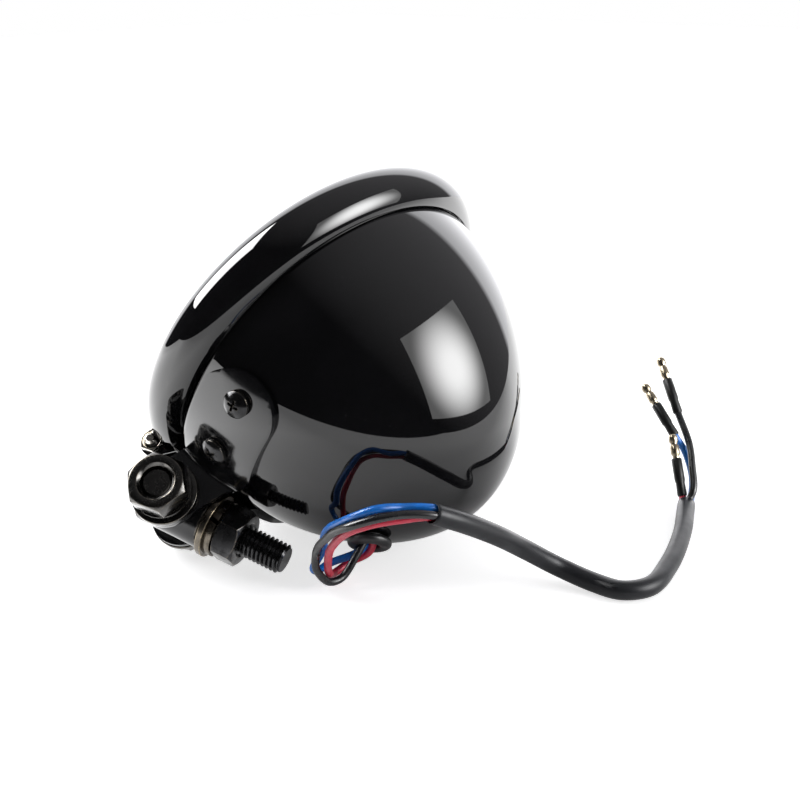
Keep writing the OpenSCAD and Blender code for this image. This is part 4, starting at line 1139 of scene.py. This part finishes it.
# Lit screens: azimuth and elevation in degrees, distance, width and height in metres, brightness in
# the middle and at the edge, and how much brighter polished surfaces see the screen
SCREENS = {
    "left_screen": SimpleNamespace(azimuth=-57, elevation=38, distance=1.0, width=0.6, height=0.7,
                                   middle=6.4, edge=6.0, polish=3.4),
    "rear_screen": SimpleNamespace(azimuth=109, elevation=14, distance=0.55, width=0.52, height=0.41,
                                   middle=5.0, edge=0.5, polish=4.2),
}
# Middle of the lamp's foot on the table, in metres, round which the table's glow in reflections is
# dimmed as a painted shadow
FOOT = Vector((-0.008, 0.03, 0.0))
# The table's edges towards the camera, as a way and a distance along it
TABLE_EDGES = [(direction(54.4, 0), 0.23), (direction(90, 0), 0.28)]
# Ways from the lamp to the grey wall, the white backdrop and the table's side with painted light in
# reflections
GREY_SIDE = direction(155, 45)
BACKDROP_SIDE = direction(226, 0)
PAINTED_LIGHT_SIDE = direction(250, 0)
# Colours of the room: by the camera, on its grey side, and of the backdrop as polished pieces see it
WHITE = (1.0, 1.0, 1.0)
ROOM_DARK = (0.03, 0.03, 0.032)
ROOM_GREY = (0.62, 0.61, 0.63)
BACKDROP_SHINE = (3.4, 3.4, 3.5)
# Glow of the table as the camera and glass see it
TABLE_GLOW = 0.7
FILL_HEIGHT, FILL_SIZE, FILL_POWER = 1.6, 1.0, 2.0
# Camera of the photograph, solved from the lamp's outlines
CAMERA_PLACE = (0.2579, 0.2671, 0.1862)
CAMERA_LOOK = Vector((-0.6842, -0.6391, -0.3514))
CAMERA_UP = Vector((-0.2675, -0.2283, 0.9361))
CAMERA_SENSOR, CAMERA_LENS = 36, 54


def in_view(tree, path):
    """Mask of what the camera sees, straight or through glass."""
    return add(tree, "Math", {0: path.outputs["Is Camera Ray"],
                              1: path.outputs["Is Transmission Ray"]}, operation="MAXIMUM").outputs[0]


class HEADLIGHT_OT_stage(bpy.types.Operator):
    """Set up the table top, the lit screens, the studio around them and the camera"""

    bl_idname = "headlight.stage"
    bl_label = "Stage"

    def execute(self, context):
        scene = context.scene
        scene.view_settings.view_transform = "Standard"
        self.table(tuple(scene.headlight_colours.floor))
        for name, row in SCREENS.items():
            self.screen(name, row)
        self.studio(scene)
        data = bpy.data.lights.new("Ceiling fill", "AREA")
        data.shape, data.size, data.energy = "SQUARE", FILL_SIZE, FILL_POWER
        lamp = bpy.data.objects.new("Ceiling fill", data)
        lamp.location = (0, 0, FILL_HEIGHT)
        lamp.visible_glossy = False
        scene.collection.objects.link(lamp)
        self.camera(scene)
        return {"FINISHED"}

    def table(self, tone):
        """Pale top that the camera and glass see as white. Polished pieces see it glow with a painted
        shadow near the lamp's foot and painted light towards one side.
        """
        bm = bmesh.new()
        bmesh.ops.create_grid(bm, x_segments=8, y_segments=8, size=2.5)
        for way, reach in TABLE_EDGES:
            bmesh.ops.bisect_plane(bm, geom=bm.verts[:] + bm.edges[:] + bm.faces[:], dist=1e-5,
                                   plane_co=way * reach, plane_no=way, clear_outer=True)
        top = loose_object(bm, "table_top")
        mat = bpy.data.materials.new("Table top")
        mat.use_nodes = True
        tree = mat.node_tree
        bsdf = tree.nodes["Principled BSDF"]
        tree.links.new(blended(tree, group(tree, "Mottle", Scale=3.0), tone, shade(tone, 0.99)),
                       bsdf.inputs["Base Color"])
        bsdf.inputs["Roughness"].default_value = 0.7
        bsdf.inputs["Specular IOR Level"].default_value = 0.1
        spot = add(tree, "TexCoord").outputs["Object"]
        away = add(tree, "VectorMath", {0: spot, 1: FOOT}, operation="DISTANCE")
        # Painted shadow: the glow that polished pieces see is weaker near the lamp's foot
        painted_shadow_ramp = add(tree, "MapRange", {"Value": away.outputs["Value"], "From Min": 0.035,
                                       "From Max": 0.16, "To Min": 0.12, "To Max": 2.6})
        # Painted light: that glow is stronger towards one side of the table
        lit = add(tree, "VectorMath", {0: spot, 1: PAINTED_LIGHT_SIDE}, operation="DOT_PRODUCT")
        share = add(tree, "MapRange", {"Value": lit.outputs["Value"], "From Min": -0.125,
                                       "From Max": 0.0, "To Min": 0.4, "To Max": 1.2})
        painted_reflection_glow = product(tree, painted_shadow_ramp.outputs["Result"], share.outputs["Result"])
        # Only glossy rays see this painted shadow and painted light
        path = add(tree, "LightPath")
        glossy = product(tree, path.outputs["Is Glossy Ray"], painted_reflection_glow)
        glow = add(tree, "Math", {0: in_view(tree, path), 1: TABLE_GLOW, 2: glossy},
                   operation="MULTIPLY_ADD")
        bsdf.inputs["Emission Color"].default_value = (1, 1, 1, 1)
        tree.links.new(glow.outputs[0], bsdf.inputs["Emission Strength"])
        top.data.materials.append(mat)

    def screen(self, name, row):
        """Soft light on a stand: a cloth lit from behind, which the camera doesn't see."""
        bm = bmesh.new()
        bmesh.ops.create_grid(bm, x_segments=1, y_segments=1, size=0.5)
        bmesh.ops.scale(bm, verts=bm.verts, vec=(row.width, row.height, 1))
        way = direction(row.azimuth, row.elevation)
        centre = row.distance * way + Vector((0, 0, 0.07))
        turn = (-way).to_track_quat("-Z", "Y").to_matrix().to_4x4()
        bmesh.ops.transform(bm, matrix=Matrix.Translation(centre) @ turn, verts=bm.verts)
        cloth = loose_object(bm, name)
        cloth.visible_camera = False
        mat = bpy.data.materials.new(name)
        mat.use_nodes = True
        tree = mat.node_tree
        tree.nodes.remove(tree.nodes["Principled BSDF"])
        spot = add(tree, "TexCoord").outputs["Object"]
        away = add(tree, "VectorMath", {0: spot, 1: centre}, operation="DISTANCE")
        level = add(tree, "MapRange", {"Value": away.outputs["Value"], "From Min": 0.05 * row.distance,
                                       "From Max": 0.5 * row.distance, "To Min": row.middle,
                                       "To Max": row.edge}, interpolation_type="SMOOTHSTEP")
        glossy = add(tree, "Math", {0: add(tree, "LightPath").outputs["Is Glossy Ray"],
                                    1: row.polish - 1, 2: 1.0}, operation="MULTIPLY_ADD")
        power = product(tree, level.outputs["Result"], glossy.outputs[0])
        light = add(tree, "Emission", {"Strength": power})
        tree.links.new(light.outputs[0], tree.nodes["Material Output"].inputs["Surface"])
        cloth.data.materials.append(mat)

    def studio(self, scene):
        """White backdrop behind the lamp, a room that is grey on one side and dark by the camera."""
        world = bpy.data.worlds.new("Studio")
        scene.world = world
        world.use_nodes = True
        tree = world.node_tree
        way = add(tree, "TexCoord").outputs["Generated"]
        path = add(tree, "LightPath")

        def side(middle, low, high, **kind):
            near = add(tree, "VectorMath", {0: way, 1: middle}, operation="DOT_PRODUCT")
            return add(tree, "MapRange", {"Value": near.outputs["Value"], "From Min": low,
                                          "From Max": high}, **kind).outputs[0]

        room = blended(tree, side(GREY_SIDE, 0.2, 1.0), ROOM_DARK, ROOM_GREY)
        bright = blended(tree, path.outputs["Is Glossy Ray"], WHITE, BACKDROP_SHINE)
        room = blended(tree, side(BACKDROP_SIDE, 0.55, 0.62), room, bright)
        room = blended(tree, in_view(tree, path), room, WHITE)
        tree.links.new(room, tree.nodes["Background"].inputs["Color"])

    def camera(self, scene):
        """Camera at the photograph's angle and distance."""
        data = bpy.data.cameras.new("Camera")
        data.sensor_width, data.lens = CAMERA_SENSOR, CAMERA_LENS
        data.clip_start, data.clip_end = 0.01, 50
        camera = bpy.data.objects.new("Camera", data)
        scene.collection.objects.link(camera)
        right = CAMERA_LOOK.cross(CAMERA_UP).normalized()
        up = right.cross(CAMERA_LOOK).normalized()
        turn = Matrix((right, up, -CAMERA_LOOK.normalized())).transposed().to_4x4()
        camera.matrix_world = Matrix.Translation(CAMERA_PLACE) @ turn
        scene.camera = camera


class HEADLIGHT_PT_panel(bpy.types.Panel):
    """Lists the pieces and the sizes and colours that they use"""

    bl_idname = "HEADLIGHT_PT_panel"
    bl_label = "Headlight"
    bl_space_type = "VIEW_3D"
    bl_region_type = "UI"
    bl_category = "Headlight"

    def draw(self, context):
        layout = self.layout
        for operator in OPERATORS:
            layout.operator(operator.bl_idname)
        scene = context.scene
        for props in (scene.headlight_sizes, scene.headlight_angles, scene.headlight_colours):
            box = layout.box()
            for key in type(props).__annotations__:
                box.prop(props, key)


OPERATORS = (
    HEADLIGHT_OT_stage,
    HEADLIGHT_OT_lead,
    HEADLIGHT_OT_bowl,
    HEADLIGHT_OT_trim_ring,
    HEADLIGHT_OT_optics,
    HEADLIGHT_OT_bulb,
    HEADLIGHT_OT_bracket,
    HEADLIGHT_OT_cross_bolt,
    HEADLIGHT_OT_swivel,
)
GROUPS = (HeadlightSizes, HeadlightAngles, HeadlightColours)


def register():
    for cls in (*GROUPS, *OPERATORS, HEADLIGHT_PT_panel):
        bpy.utils.register_class(cls)
    bpy.types.Scene.headlight_sizes = PointerProperty(type=HeadlightSizes)
    bpy.types.Scene.headlight_angles = PointerProperty(type=HeadlightAngles)
    bpy.types.Scene.headlight_colours = PointerProperty(type=HeadlightColours)


def unregister():
    del bpy.types.Scene.headlight_sizes
    del bpy.types.Scene.headlight_angles
    del bpy.types.Scene.headlight_colours
    for cls in reversed((*GROUPS, *OPERATORS, HEADLIGHT_PT_panel)):
        bpy.utils.unregister_class(cls)


def main():
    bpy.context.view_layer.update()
    register()
    make_groups()
    make_finishes()
    for operator in OPERATORS:
        group_name, name = operator.bl_idname.split(".")
        getattr(getattr(bpy.ops, group_name), name)()


if __name__ == "__main__":
    main()
